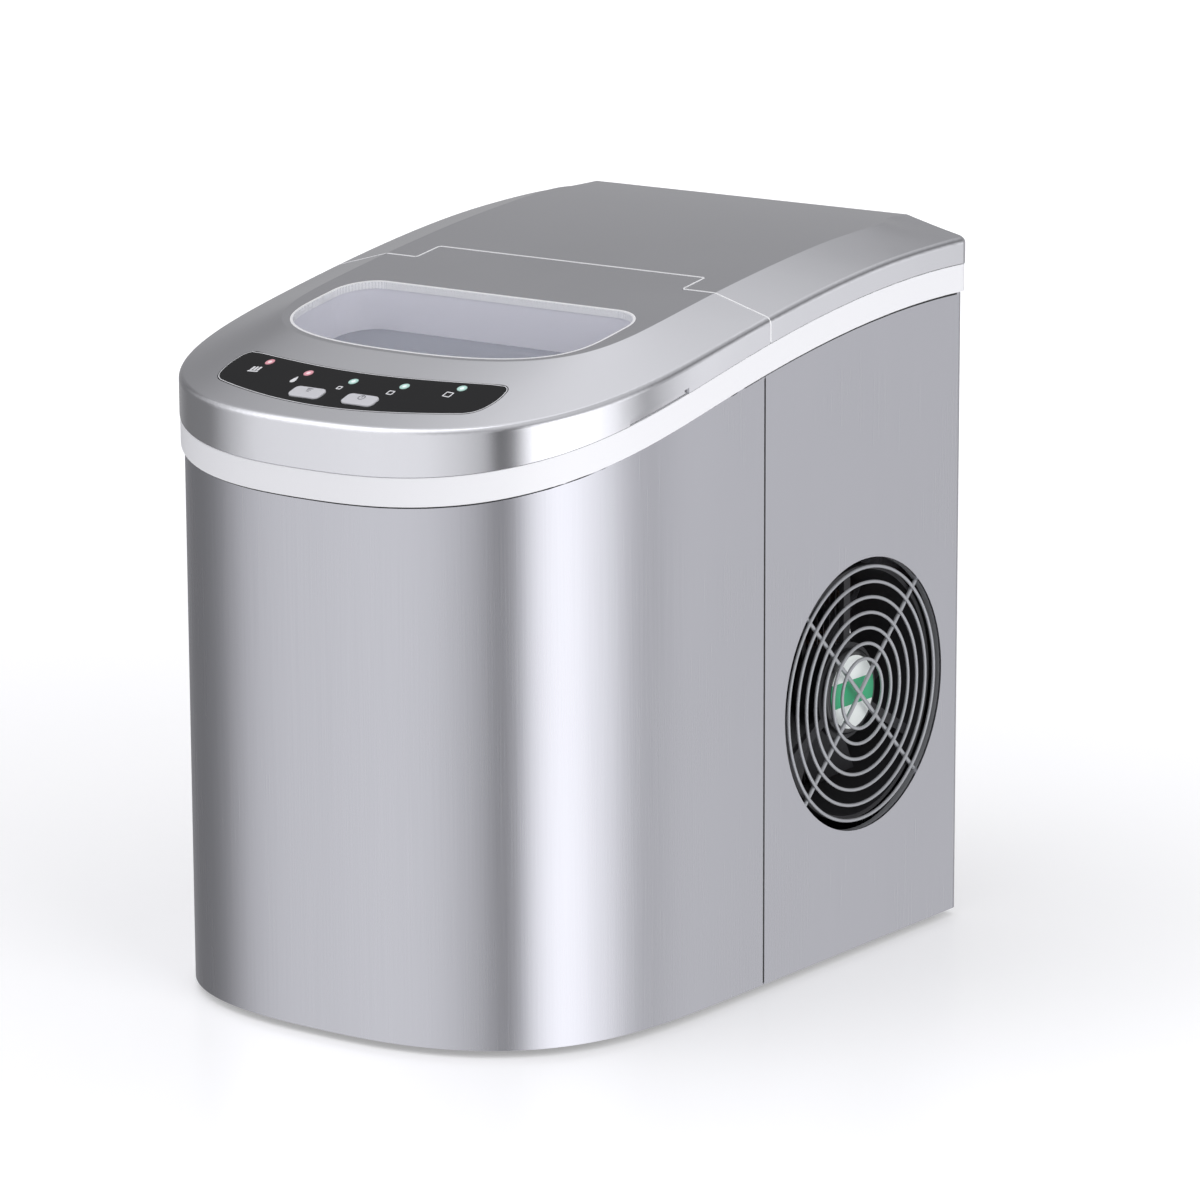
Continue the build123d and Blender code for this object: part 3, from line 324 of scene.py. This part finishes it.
def sticker(name):
    """White disc with a plain green band across its middle."""
    material, shader, surface = principled(name, (0.9, 0.92, 0.9), 0.4)
    coords = shader.add("ShaderNodeTexCoord")
    axes = shader.add("ShaderNodeSeparateXYZ")
    shader.link(coords.outputs["Object"], axes.inputs[0])
    low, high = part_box("fan_label")
    middle = (low + high) / 2
    reach = (high.z - low.z) / 2
    height = shader.math("ABSOLUTE", shader.math("SUBTRACT", axes.outputs["Z"], middle.z))
    band = shader.math("LESS_THAN", height, reach * 0.34)
    tint(shader, surface, band, (0.88, 0.92, 0.9), (0.05, 0.42, 0.2))
    return material


def clusters(node, gap=0.008):
    """Centres in plan of the separate lenses of a node, from left to right."""
    points = sorted((v.co.copy() for v in nodes[node].data.vertices), key=lambda p: p.x)
    groups = [[points[0]]]
    for point in points[1:]:
        if point.x - groups[-1][-1].x > gap:
            groups.append([])
        groups[-1].append(point)
    centres = []
    for group in groups:
        xs = [p.x for p in group]
        ys = [p.y for p in group]
        centres.append(((min(xs) + max(xs)) / 2, (min(ys) + max(ys)) / 2))
    return centres


LAMP_RADIUS = 0.0023
LAMP_GLOW = 0.25
red_centres = clusters("red_indicators")
green_centres = clusters("green_indicators")

materials = {
    "steel_shell": brushed(
        "steel_shell",
        (0.605, 0.607, 0.642),
        (0.63, 0.632, 0.668),
        (0.25, 0.28),
        (1.0, 1.0, 0.006),
        anisotropy=0.5,
        grain=2200.0,
    ),
    "trim_white": moulded("trim_white", (0.9, 0.9, 0.92), 0.35, uneven=0.01),
    "lid_silver": painted("lid_silver", (0.82, 0.823, 0.85), 0.16),
    "clear_pane": see_through("clear_pane", (0.86, 0.88, 0.95), 0.05, 0.12),
    "inner_pane": see_through("inner_pane", (0.3, 0.32, 0.38), 0.1, 0.7),
    "seal_white": moulded("seal_white", (0.93, 0.93, 0.94), 0.45),
    "liner_white": moulded("liner_white", (0.8, 0.79, 0.86), 0.4),
    "panel_black": moulded(
        "panel_black", (0.003, 0.003, 0.0035), 0.2, depth=0.000005, Specular_IOR_Level=0.12
    ),
    "red_lens": lit_lens("red_lens", (0.72, 0.3, 0.36), (0.9, 0.72, 0.74), red_centres),
    "green_lens": lit_lens("green_lens", (0.42, 0.66, 0.6), (0.85, 0.93, 0.92), green_centres),
    "button_silver": moulded("button_silver", (0.66, 0.66, 0.69), 0.35),
    "circuit_board": circuit("circuit_board"),
    "bright_steel": tarnished("bright_steel", (0.78, 0.78, 0.79), (0.66, 0.66, 0.68), 0.25),
    "galvanised": tarnished("galvanised", (0.66, 0.67, 0.69), (0.52, 0.54, 0.57), 0.4),
    "grille_wire": moulded("grille_wire", (0.42, 0.43, 0.45), 0.35, Metallic=0.3),
    "dark_plastic": moulded("dark_plastic", (0.03, 0.03, 0.033), 0.5, depth=0.00006),
    "grey_plastic": moulded("grey_plastic", (0.36, 0.37, 0.39), 0.45, depth=0.00005),
    "rubber": moulded("rubber", (0.025, 0.025, 0.025), 0.75, depth=0.0001),
    "hose_silicone": moulded("hose_silicone", (0.78, 0.78, 0.74), 0.35, Subsurface_Weight=0.2),
    "foam": foamed("foam"),
    "copper": tarnished("copper", (0.8, 0.42, 0.25), (0.5, 0.25, 0.15), 0.28),
    "fins": brushed("fins", (0.66, 0.67, 0.69), (0.78, 0.79, 0.81), (0.3, 0.4), (1.0, 0.05, 1.0)),
    "black_steel": moulded("black_steel", (0.02, 0.02, 0.022), 0.3, depth=0.00008, Coat_Weight=0.4),
    "nickel": tarnished("nickel", (0.78, 0.76, 0.72), (0.66, 0.64, 0.6), 0.18),
    "label": sticker("label"),
}


def dress_nodes():
    """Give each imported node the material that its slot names."""
    for node in nodes.values():
        for index, material in enumerate(node.data.materials):
            slot = material.name.split(".")[0]
            node.data.materials[index] = materials[slot]


dress_nodes()

# ---------------------------------------------------------------- printed marks, and a painted highlight round the panel edge

DECAL_LIFT = 0.00006
DECAL_THICKNESS = 0.00005


def surface_tree(node):
    mesh = nodes[node].data
    corners = [v.co.copy() for v in mesh.vertices]
    return BVHTree.FromPolygons(corners, [tuple(p.vertices) for p in mesh.polygons])


def height_over(tree, x, y):
    """Height of the surface under a plan point, or None off its edge."""
    hit = tree.ray_cast(Vector((x, y, 1.0)), Vector((0.0, 0.0, -1.0)))
    return hit[0].z if hit[0] else None


def plan_outline(tree, centre, count=240, reach=0.12, stride=0.0008):
    """Plan points where a surface ends, looking in from outside along rays to its centre."""
    outline = []
    for step in range(count):
        turn = 2 * math.pi * step / count
        way = (math.cos(turn), math.sin(turn))

        def missing(distance):
            x, y = centre[0] + way[0] * distance, centre[1] + way[1] * distance
            return height_over(tree, x, y) is None

        inside = reach
        while missing(inside):
            inside -= stride
        outside = inside + stride
        for _ in range(10):
            middle = (inside + outside) / 2
            if missing(middle):
                outside = middle
            else:
                inside = middle
        outline.append((centre[0] + way[0] * inside, centre[1] + way[1] * inside))
    return outline


def inset(outline, distance):
    moved = []
    count = len(outline)
    for index, (x, y) in enumerate(outline):
        before = outline[index - 1]
        after = outline[(index + 1) % count]
        along = (after[0] - before[0], after[1] - before[1])
        length = math.hypot(*along)
        moved.append((x - along[1] / length * distance, y + along[0] / length * distance))
    return moved


def add_piece(name, points, faces, material, body):
    """A mesh object that rides on a body and stands in a material slot."""
    mesh = bpy.data.meshes.new(name)
    mesh.from_pydata(points, [], faces)
    mesh.materials.append(material)
    mesh.update()
    piece = bpy.data.objects.new(name, mesh)
    scene.collection.objects.link(piece)
    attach(piece, body)


def thin_piece(name, points, faces, material, slot, body):
    """A thin print, or the panel's painted edge highlight, with its own thickness, riding on a body."""
    count = len(points)
    lower = [(p[0], p[1], p[2] - DECAL_THICKNESS) for p in points]
    edges = {}
    for face in faces:
        for index, first in enumerate(face):
            edges[(first, face[(index + 1) % len(face)])] = True
    walls = [
        (a + count, b + count, b, a) for (a, b) in edges if (b, a) not in edges
    ]
    below = [tuple(index + count for index in reversed(face)) for face in faces]
    add_piece(name, list(points) + lower, list(faces) + below + walls, material, body)


def draped_band(tree, outer, inner):
    """Points and faces of a closed band between two outlines, laid on a surface."""
    count = len(outer)
    points = []
    for outline in (outer, inner):
        for x, y in outline:
            points.append((x, y, height_over(tree, x, y) + DECAL_LIFT))
    faces = [
        (index, (index + 1) % count, (index + 1) % count + count, index + count)
        for index in range(count)
    ]
    return points, faces


def rounded(cx, cy, width, depth, corner, count=6):
    """Outline of a rounded rectangle in plan, anticlockwise."""
    outline = []
    for turn, (sx, sy) in enumerate(((1, 1), (-1, 1), (-1, -1), (1, -1))):
        for step in range(count + 1):
            angle = math.pi / 2 * (turn + step / count)
            outline.append(
                (
                    cx + sx * (width / 2 - corner) + corner * math.cos(angle),
                    cy + sy * (depth / 2 - corner) + corner * math.sin(angle),
                )
            )
    return outline


def join_prints(parts):
    points, faces = [], []
    for part_points, part_faces in parts:
        base = len(points)
        points += part_points
        faces += [tuple(index + base for index in face) for face in part_faces]
    return points, faces


def filled(tree, outline):
    points = [(x, y, height_over(tree, x, y) + DECAL_LIFT) for x, y in outline]
    return points, [tuple(range(len(points)))]


OUTLINE_INSET = 0.00025
OUTLINE_WIDTH = 0.00035
PANEL_CENTRE_SHIFT = 0.012

panel = surface_tree("control_overlay")
panel_low, panel_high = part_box("control_overlay")
edge = plan_outline(panel, (0.0, (panel_low.y + panel_high.y) / 2 - PANEL_CENTRE_SHIFT))
white_print_and_highlight = moulded("print_and_highlight_white", (0.85, 0.85, 0.87), 0.4)
grey_print = moulded("print_grey", (0.16, 0.16, 0.18), 0.4)

MARK_LEFT = 0.0028
MARK_FRONT = 0.0062
MARK_CORNER = 0.0003
BASKET_PITCH = 0.0019
BASKET_BAR = 0.0013
BASKET_HEIGHT = 0.0032
BASKET_DROP = 0.0024
BASKET_WIDTH = 0.006
BASKET_BASE = 0.0009
DROP_HALF_WIDTH = 0.0019
DROP_REACH = 0.0026
CUBE_SMALLEST = 0.0026
CUBE_STEP = 0.0007
CUBE_LINE = 0.00055
CUBE_CORNER = 0.0005

# White line round the control panel: a painted highlight standing in for light on the panel's bevelled
# edge, drawn all the way round.
thin_piece(
    "panel_edge_highlight",
    *draped_band(
        panel, inset(edge, OUTLINE_INSET), inset(edge, OUTLINE_INSET + OUTLINE_WIDTH)
    ),
    white_print_and_highlight,
    "seal_white",
    "lid",
)


def basket_mark(cx, cy):
    bars = [
        filled(panel, rounded(cx + step * BASKET_PITCH, cy, BASKET_BAR, BASKET_HEIGHT, MARK_CORNER))
        for step in (-1, 0, 1)
    ]
    base_y = cy - BASKET_DROP
    return bars + [filled(panel, rounded(cx, base_y, BASKET_WIDTH, BASKET_BASE, MARK_CORNER))]


def drop_mark(cx, cy, count=20):
    outline = []
    for step in range(count):
        turn = 2 * math.pi * step / count
        pinch = 0.25 + 0.375 * (1 - math.sin(turn))
        outline.append((cx + DROP_HALF_WIDTH * math.cos(turn) * pinch, cy + DROP_REACH * math.sin(turn)))
    return [filled(panel, outline)]


def cube_mark(cx, cy, size):
    hole = size - 2 * CUBE_LINE
    outer = rounded(cx, cy, size, size, CUBE_CORNER)
    inner = rounded(cx, cy, hole, hole, MARK_CORNER)
    return [draped_band(panel, outer, inner)]


def lamp_marks():
    """Plain pictograms beside the lamps: a basket, a drop and three cube sizes."""
    spots = [(x - MARK_LEFT, y - MARK_FRONT) for x, y in red_centres + green_centres]
    parts = basket_mark(*spots[0]) + drop_mark(*spots[1])
    for index, spot in enumerate(spots[2:]):
        parts += cube_mark(*spot, CUBE_SMALLEST + CUBE_STEP * index)
    thin_piece("lamp_marks", *join_prints(parts), white_print_and_highlight, "seal_white", "lid")


lamp_marks()


BAR_WIDTHS = (0.0016, 0.0024, 0.0032)
BAR_PITCH = 0.0011
BAR_THICK = 0.0005
BAR_START = 0.001
RING_OUTER = 0.0018
RING_INNER = 0.0014
RING_POINTS = 28
STROKE_LENGTH = 0.002
STROKE_SHIFT = 0.001
STROKE_CORNER = 0.0002


def bars_mark(tree, cx, cy):
    """Three bars that grow longer towards the rear."""
    start_y = cy - BAR_START
    return [
        filled(tree, rounded(cx, start_y + step * BAR_PITCH, width, BAR_THICK, STROKE_CORNER))
        for step, width in enumerate(BAR_WIDTHS)
    ]


def ring_mark(tree, cx, cy):
    """A ring with a short upright stroke across its rear edge."""
    outlines = []
    for radius in (RING_OUTER, RING_INNER):
        turns = [2 * math.pi * step / RING_POINTS for step in range(RING_POINTS)]
        outlines.append([(cx + radius * math.cos(turn), cy + radius * math.sin(turn)) for turn in turns])
    stroke = rounded(cx, cy + STROKE_SHIFT, BAR_THICK, STROKE_LENGTH, STROKE_CORNER)
    return [draped_band(tree, *outlines), filled(tree, stroke)]


def button_marks():
    for node, mark in (("select_button", bars_mark), ("power_button", ring_mark)):
        tree = surface_tree(node)
        low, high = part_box(node)
        parts = mark(tree, (low.x + high.x) / 2, (low.y + high.y) / 2)
        thin_piece(node + "_mark", *join_prints(parts), grey_print, "dark_plastic", node)


button_marks()

# ---------------------------------------------------------------- joint lines

SEAM_GAP = 0.0005
SEAM_TOP = 0.3068
SEAM_START = 0.0004
SEAM_STEPS = 8
SEAM_PITCH = 0.002
CORNER_SPARE = 0.001
PROBE_SPARE = 0.0003
TONGUE_HALF = 0.075
TONGUE_LENGTH = 0.017
# Size of the pale seam strip, a painted highlight on the seam's rounded edges.
HIGHLIGHT_STRIP_WIDTH = 0.0009
HIGHLIGHT_STRIP_PROUD = 0.00008
HIGHLIGHT_STRIP_DEPTH = 0.00018
ABOVE_ALL = 0.4


def swept(name, path, width, proud, depth, slot, closed=False):
    """A strip of four-sided section along (point, normal, direction) stations."""
    points, faces = [], []
    for place, normal, along in path:
        aside = normal.cross(along).normalized()
        for across, out in ((-1, proud), (1, proud), (1, -depth), (-1, -depth)):
            points.append(tuple(place + aside * (across * width / 2) + normal * out))
    count = len(path)
    for index in range(count if closed else count - 1):
        base, after = 4 * index, 4 * ((index + 1) % count)
        for corner in range(4):
            other = (corner + 1) % 4
            faces.append((base + corner, base + other, after + other, after + corner))
    if not closed:
        faces.append((3, 2, 1, 0))
        faces.append(tuple(4 * (count - 1) + corner for corner in range(4)))
    add_piece(name, points, faces, materials[slot], "housing")


def seam_points():
    """Points and surface normals along the joint, from the left band up, over and down."""
    trees = (surface_tree("rear_cover"), surface_tree("lid_frame"))
    low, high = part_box("rear_cover")
    seam_y = low.y - SEAM_GAP / 2
    rear_y = seam_y + TONGUE_LENGTH
    half = TONGUE_HALF + SEAM_GAP / 2
    wall = high.x
    probe = SEAM_GAP + PROBE_SPARE
    start_z = low.z + SEAM_START

    def cast(start, way):
        hits = [tree.ray_cast(start, way) for tree in trees]
        hits = [hit for hit in hits if hit[0]]
        return min(hits, key=lambda hit: hit[3]) if hits else None

    def sample(spot, way, aside):
        pair = [cast(spot + aside * reach - way, way) for reach in (-probe, probe)]
        if None in pair:
            return None
        place = (pair[0][0] + pair[1][0]) / 2
        normal = (pair[0][1] + pair[1][1]).normalized()
        return place, normal

    def limb(side):
        samples = []
        for step in range(SEAM_STEPS + 1):
            z = start_z + (SEAM_TOP - start_z) * step / SEAM_STEPS
            spot = Vector((side * wall, seam_y, z))
            samples.append(sample(spot, Vector((-side, 0, 0)), Vector((0, 1, 0))))
        return samples

    outer_x = wall - CORNER_SPARE
    corners = (
        (-outer_x, seam_y),
        (-half, seam_y),
        (-half, rear_y),
        (half, rear_y),
        (half, seam_y),
        (outer_x, seam_y),
    )
    over = []
    for (x0, y0), (x1, y1) in zip(corners, corners[1:]):
        run = math.hypot(x1 - x0, y1 - y0)
        aside = Vector((-(y1 - y0), x1 - x0, 0.0)).normalized()
        steps = max(2, round(run / SEAM_PITCH))
        for step in range(steps + 1):
            share = (CORNER_SPARE + (run - 2 * CORNER_SPARE) * step / steps) / run
            spot = Vector((x0 + (x1 - x0) * share, y0 + (y1 - y0) * share, ABOVE_ALL))
            over.append(sample(spot, Vector((0, 0, -1)), aside))
    whole = limb(-1) + over + list(reversed(limb(1)))
    return [item for item in whole if item]


def seam_highlight_strip():
    """Pale strip along the joint between the lid and the rear cover: a painted highlight standing in for
    light caught on the rounded seam edges.
    """
    path = seam_points()
    stations = []
    for index, (place, normal) in enumerate(path):
        before = path[max(index - 1, 0)][0]
        after = path[min(index + 1, len(path) - 1)][0]
        stations.append((place, normal, after - before))
    swept("seam_highlight_strip", stations, HIGHLIGHT_STRIP_WIDTH, HIGHLIGHT_STRIP_PROUD, HIGHLIGHT_STRIP_DEPTH, "seal_white")


seam_highlight_strip()

# Dark strips: in the upright shell joints, and a painted shadow strip under the white band's overhang.
DARK_STRIP_WIDTH = 0.0009
DARK_STRIP_SUNK = 0.0002
BAND_SHADOW_PROUD = 0.00025
SHELL_GASKET_PROUD = 0.0001
SHELL_GASKET_START = 0.001
SHELL_GASKET_PITCH = 0.004
BESIDE_SEAM = 0.0015
BESIDE_ALL = 0.2
BAND_STATIONS = 240
BAND_SEARCH_DROP = 0.02
BAND_SEARCH_END = 0.00005


def shell_gaskets():
    """Dark strips in the two upright joints between the front and rear shells."""
    shell = surface_tree("rear_shell")
    band = surface_tree("upper_frame")
    low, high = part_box("rear_shell")
    seam_y = (low.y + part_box("front_shell")[1].y) / 2
    for side, label in ((-1, "left"), (1, "right")):
        outward = Vector((side, 0, 0))
        path = []
        height = low.z + SHELL_GASKET_START
        while height < high.z:
            start = Vector((side * BESIDE_ALL, seam_y + BESIDE_SEAM, height))
            steel = shell.ray_cast(start, -outward)
            cover = band.ray_cast(start, -outward)
            if steel[0] is None or (cover[0] is not None and cover[3] < steel[3]):
                break
            path.append((Vector((steel[0].x, seam_y, height)), outward, Vector((0, 0, 1))))
            height += SHELL_GASKET_PITCH
        name = "shell_gasket_" + label
        swept(name, path, DARK_STRIP_WIDTH, SHELL_GASKET_PROUD, DARK_STRIP_SUNK, "rubber")


def steel_below_band(shells, band, way, height):
    """Nearest hit on the steel from outside, or None where the band hides it or it ends below."""
    start = way * ABOVE_ALL + Vector((0.0, 0.0, height))
    hits = [tree.ray_cast(start, -way) for tree in shells]
    hits = [hit for hit in hits if hit[0] and hit[0].dot(way) > 0]
    cover = band.ray_cast(start, -way)
    nearest = min(hits, key=lambda hit: hit[3]) if hits else None
    if nearest and (not cover[0] or nearest[3] < cover[3]):
        return nearest
    return None


def band_shadow_strip():
    """Dark line where the white band overhangs the steel, all the way round: a painted shadow strip for the
    shade under the band's overhang.
    """
    shells = (surface_tree("front_shell"), surface_tree("rear_shell"))
    band = surface_tree("upper_frame")
    low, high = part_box("upper_frame")
    path = []
    for step in range(BAND_STATIONS):
        turn = 2 * math.pi * step / BAND_STATIONS
        way = Vector((math.cos(turn), math.sin(turn), 0.0))
        under, over = low.z - BAND_SEARCH_DROP, high.z
        found = steel_below_band(shells, band, way, under)
        if found is None:
            continue
        while over - under > BAND_SEARCH_END:
            middle = (under + over) / 2
            hit = steel_below_band(shells, band, way, middle)
            if hit:
                under, found = middle, hit
            else:
                over = middle
        normal = Vector((found[1].x, found[1].y, 0.0)).normalized()
        path.append((found[0], normal))
    drop = Vector((0.0, 0.0, -DARK_STRIP_WIDTH / 2))
    stations = []
    for index, (place, normal) in enumerate(path):
        along = path[(index + 1) % len(path)][0] - path[index - 1][0]
        stations.append((place + drop, normal, along))
    swept("band_shadow_strip", stations, DARK_STRIP_WIDTH, BAND_SHADOW_PROUD, DARK_STRIP_SUNK, "rubber", closed=True)


shell_gaskets()
band_shadow_strip()

# ---------------------------------------------------------------- studio

# Strength of the soft surround by azimuth, in degrees from the front towards the right,
# at three heights: low, halfway up and overhead.
LOW_CARDS = (
    (-165, 0.38),
    (-135, 0.38),
    (-105, 0.2),
    (-75, 0.22),
    (-50, 0.84),
    (-25, 0.92),
    (0, 0.9),
    (20, 0.72),
    (33, 0.55),
    (41, 0.14),
    (50, 0.26),
    (62, 1.35),
    (80, 1.75),
    (98, 1.42),
    (112, 1.1),
    (126, 0.36),
    (142, 1.0),
    (152, 0.5),
)
MIDDLE_CARDS = (
    (-165, 0.36),
    (-135, 0.31),
    (-105, 0.18),
    (-75, 0.62),
    (-50, 1.6),
    (-25, 1.3),
    (0, 0.55),
    (41, 0.45),
    (50, 0.4),
    (80, 0.5),
    (112, 0.5),
    (128, 0.22),
    (160, 0.22),
)
HIGH_CARDS = (
    (-165, 0.95),
    (-135, 0.95),
    (-105, 0.7),
    (-75, 1.4),
    (-50, 1.6),
    (0, 1.0),
    (20, 0.7),
    (80, 0.66),
    (128, 0.6),
    (160, 0.6),
)
CARD_HEIGHTS = (0.035, 0.469, 0.866)
SURROUND_TINT = (0.99, 0.99, 1.02)
KEY_POWER = 13.0
FILL_POWER = 1.0
SOFTBOXES = (("key", 72.0, 22.0, KEY_POWER), ("fill", -5.0, 25.0, FILL_POWER))
SOFTBOX_SIZE = 1.2
SOFTBOX_DISTANCE = 2.2
SOFTBOX_AIM = Vector((0.0, 0.0, 0.15))


def studio_light():
    """Soft surround of broad cards, and two large lamps that only matt surfaces answer to."""
    world = bpy.data.worlds.new("studio")
    scene.world = world
    world.use_nodes = True
    shader = Shader(world.node_tree)
    background = world.node_tree.nodes["Background"]
    coords = shader.add("ShaderNodeTexCoord")
    axes = shader.add("ShaderNodeSeparateXYZ")
    shader.link(coords.outputs["Generated"], axes.inputs[0])
    forward = shader.math("MULTIPLY", axes.outputs["Y"], -1.0)
    turn = shader.math("ARCTAN2", axes.outputs["X"], forward)
    share = shader.span(turn, 0.0, 1.0, -math.pi, math.pi)

    def circle(cards):
        first, last = cards[0], cards[-1]
        gap = first[0] + 360.0 - last[0]
        seam = last[1] + (first[1] - last[1]) * (180.0 - last[0]) / gap
        stops = [(-180, seam), *cards, (180, seam)]
        top = max(value for _, value in stops)
        ramp = shader.ramp(
            share,
            [
                ((azimuth + 180.0) / 360.0, tuple(value / top * tone for tone in SURROUND_TINT))
                for azimuth, value in stops
            ],
        )
        scale = shader.add("ShaderNodeVectorMath", operation="SCALE")
        shader.link(ramp, scale.inputs[0])
        scale.inputs["Scale"].default_value = top
        return scale.outputs[0]

    low, middle, high = (circle(cards) for cards in (LOW_CARDS, MIDDLE_CARDS, HIGH_CARDS))
    height = axes.outputs["Z"]
    lower = shader.blend(shader.span(height, 0.0, 1.0, *CARD_HEIGHTS[:2]), low, middle)
    upper = shader.blend(shader.span(height, 0.0, 1.0, *CARD_HEIGHTS[1:]), lower, high)
    shader.link(upper, background.inputs["Color"])
    background.inputs["Strength"].default_value = 1.0
    for name, azimuth, elevation, power in SOFTBOXES:
        lamp = bpy.data.lights.new(name, "AREA")
        lamp.shape = "SQUARE"
        lamp.size = SOFTBOX_SIZE
        lamp.energy = power
        item = bpy.data.objects.new(name, lamp)
        turn, rise = math.radians(azimuth), math.radians(elevation)
        toward = Vector(
            (math.sin(turn) * math.cos(rise), -math.cos(turn) * math.cos(rise), math.sin(rise))
        )
        item.location = toward * SOFTBOX_DISTANCE + SOFTBOX_AIM
        item.rotation_euler = toward.to_track_quat("Z", "Y").to_euler()
        item.visible_glossy = False
        item.visible_camera = False
        scene.collection.objects.link(item)


studio_light()

SURROUND_RADIUS = 9.0
SURROUND_RINGS = 24
SURROUND_SECTORS = 48
SURROUND_GLOW = 1.02
FLOOR_HALF = 8.0
FLOOR_DROP = 0.0002
FLOOR_GLOW = (0.3, 0.62)
FLOOR_GLOW_REACH = (0.2, 1.6)


def hide_from(item, **rays):
    for ray, seen in rays.items():
        setattr(item, "visible_" + ray, seen)


def make_surround():
    """White sphere that only the camera sees."""
    points = []
    for ring in range(SURROUND_RINGS + 1):
        polar = math.pi * ring / SURROUND_RINGS
        for sector in range(SURROUND_SECTORS):
            turn = 2 * math.pi * sector / SURROUND_SECTORS
            flat = SURROUND_RADIUS * math.sin(polar)
            points.append(
                (flat * math.cos(turn), flat * math.sin(turn), SURROUND_RADIUS * math.cos(polar))
            )
    faces = []
    for ring in range(SURROUND_RINGS):
        for sector in range(SURROUND_SECTORS):
            after = (sector + 1) % SURROUND_SECTORS
            a, b = ring * SURROUND_SECTORS + sector, ring * SURROUND_SECTORS + after
            faces.append((a, b, b + SURROUND_SECTORS, a + SURROUND_SECTORS))
    mesh = bpy.data.meshes.new("surround")
    mesh.from_pydata(points, [], faces)
    surround = bpy.data.objects.new("surround", mesh)
    scene.collection.objects.link(surround)
    glow = bpy.data.materials.new("surround_white")
    glow.use_nodes = True
    tree = glow.node_tree
    tree.nodes.remove(tree.nodes["Principled BSDF"])
    emission = tree.nodes.new("ShaderNodeEmission")
    emission.inputs["Strength"].default_value = SURROUND_GLOW
    tree.links.new(emission.outputs[0], tree.nodes["Material Output"].inputs["Surface"])
    mesh.materials.append(glow)
    hide_from(surround, diffuse=False, glossy=False, transmission=False, volume_scatter=False, shadow=False)
    return surround


def make_floor():
    """Pale floor that glows more strongly away from the machine, so the dimmer floor round the machine is
    painted shade.
    """
    half = FLOOR_HALF
    mesh = bpy.data.meshes.new("floor")
    corners = [(-half, -half, 0.0), (half, -half, 0.0), (half, half, 0.0), (-half, half, 0.0)]
    mesh.from_pydata(corners, [], [(0, 1, 2, 3)])
    floor = bpy.data.objects.new("floor", mesh)
    floor.location.z = -FLOOR_DROP
    scene.collection.objects.link(floor)
    material, shader, surface = principled("floor_white", (0.92, 0.92, 0.93), 0.2)
    surface.inputs["Emission Color"].default_value = (1.0, 1.0, 1.0, 1.0)
    away = shader.add("ShaderNodeVectorMath", operation="LENGTH")
    shader.link(shader.place(), away.inputs[0])
    # Glow rises from near the machine to far off: painted shade on the floor round its foot.
    glow_share = shader.span(away.outputs["Value"], *FLOOR_GLOW, *FLOOR_GLOW_REACH)
    shader.link(glow_share, surface.inputs["Emission Strength"])
    shader.link(
        shader.span(shader.noise(3.0, 2.0), 0.2, 0.26, 0.3, 0.7), surface.inputs["Roughness"]
    )
    mesh.materials.append(material)
    hide_from(floor, glossy=False, diffuse=False)
    return floor


surround = make_surround()
floor = make_floor()
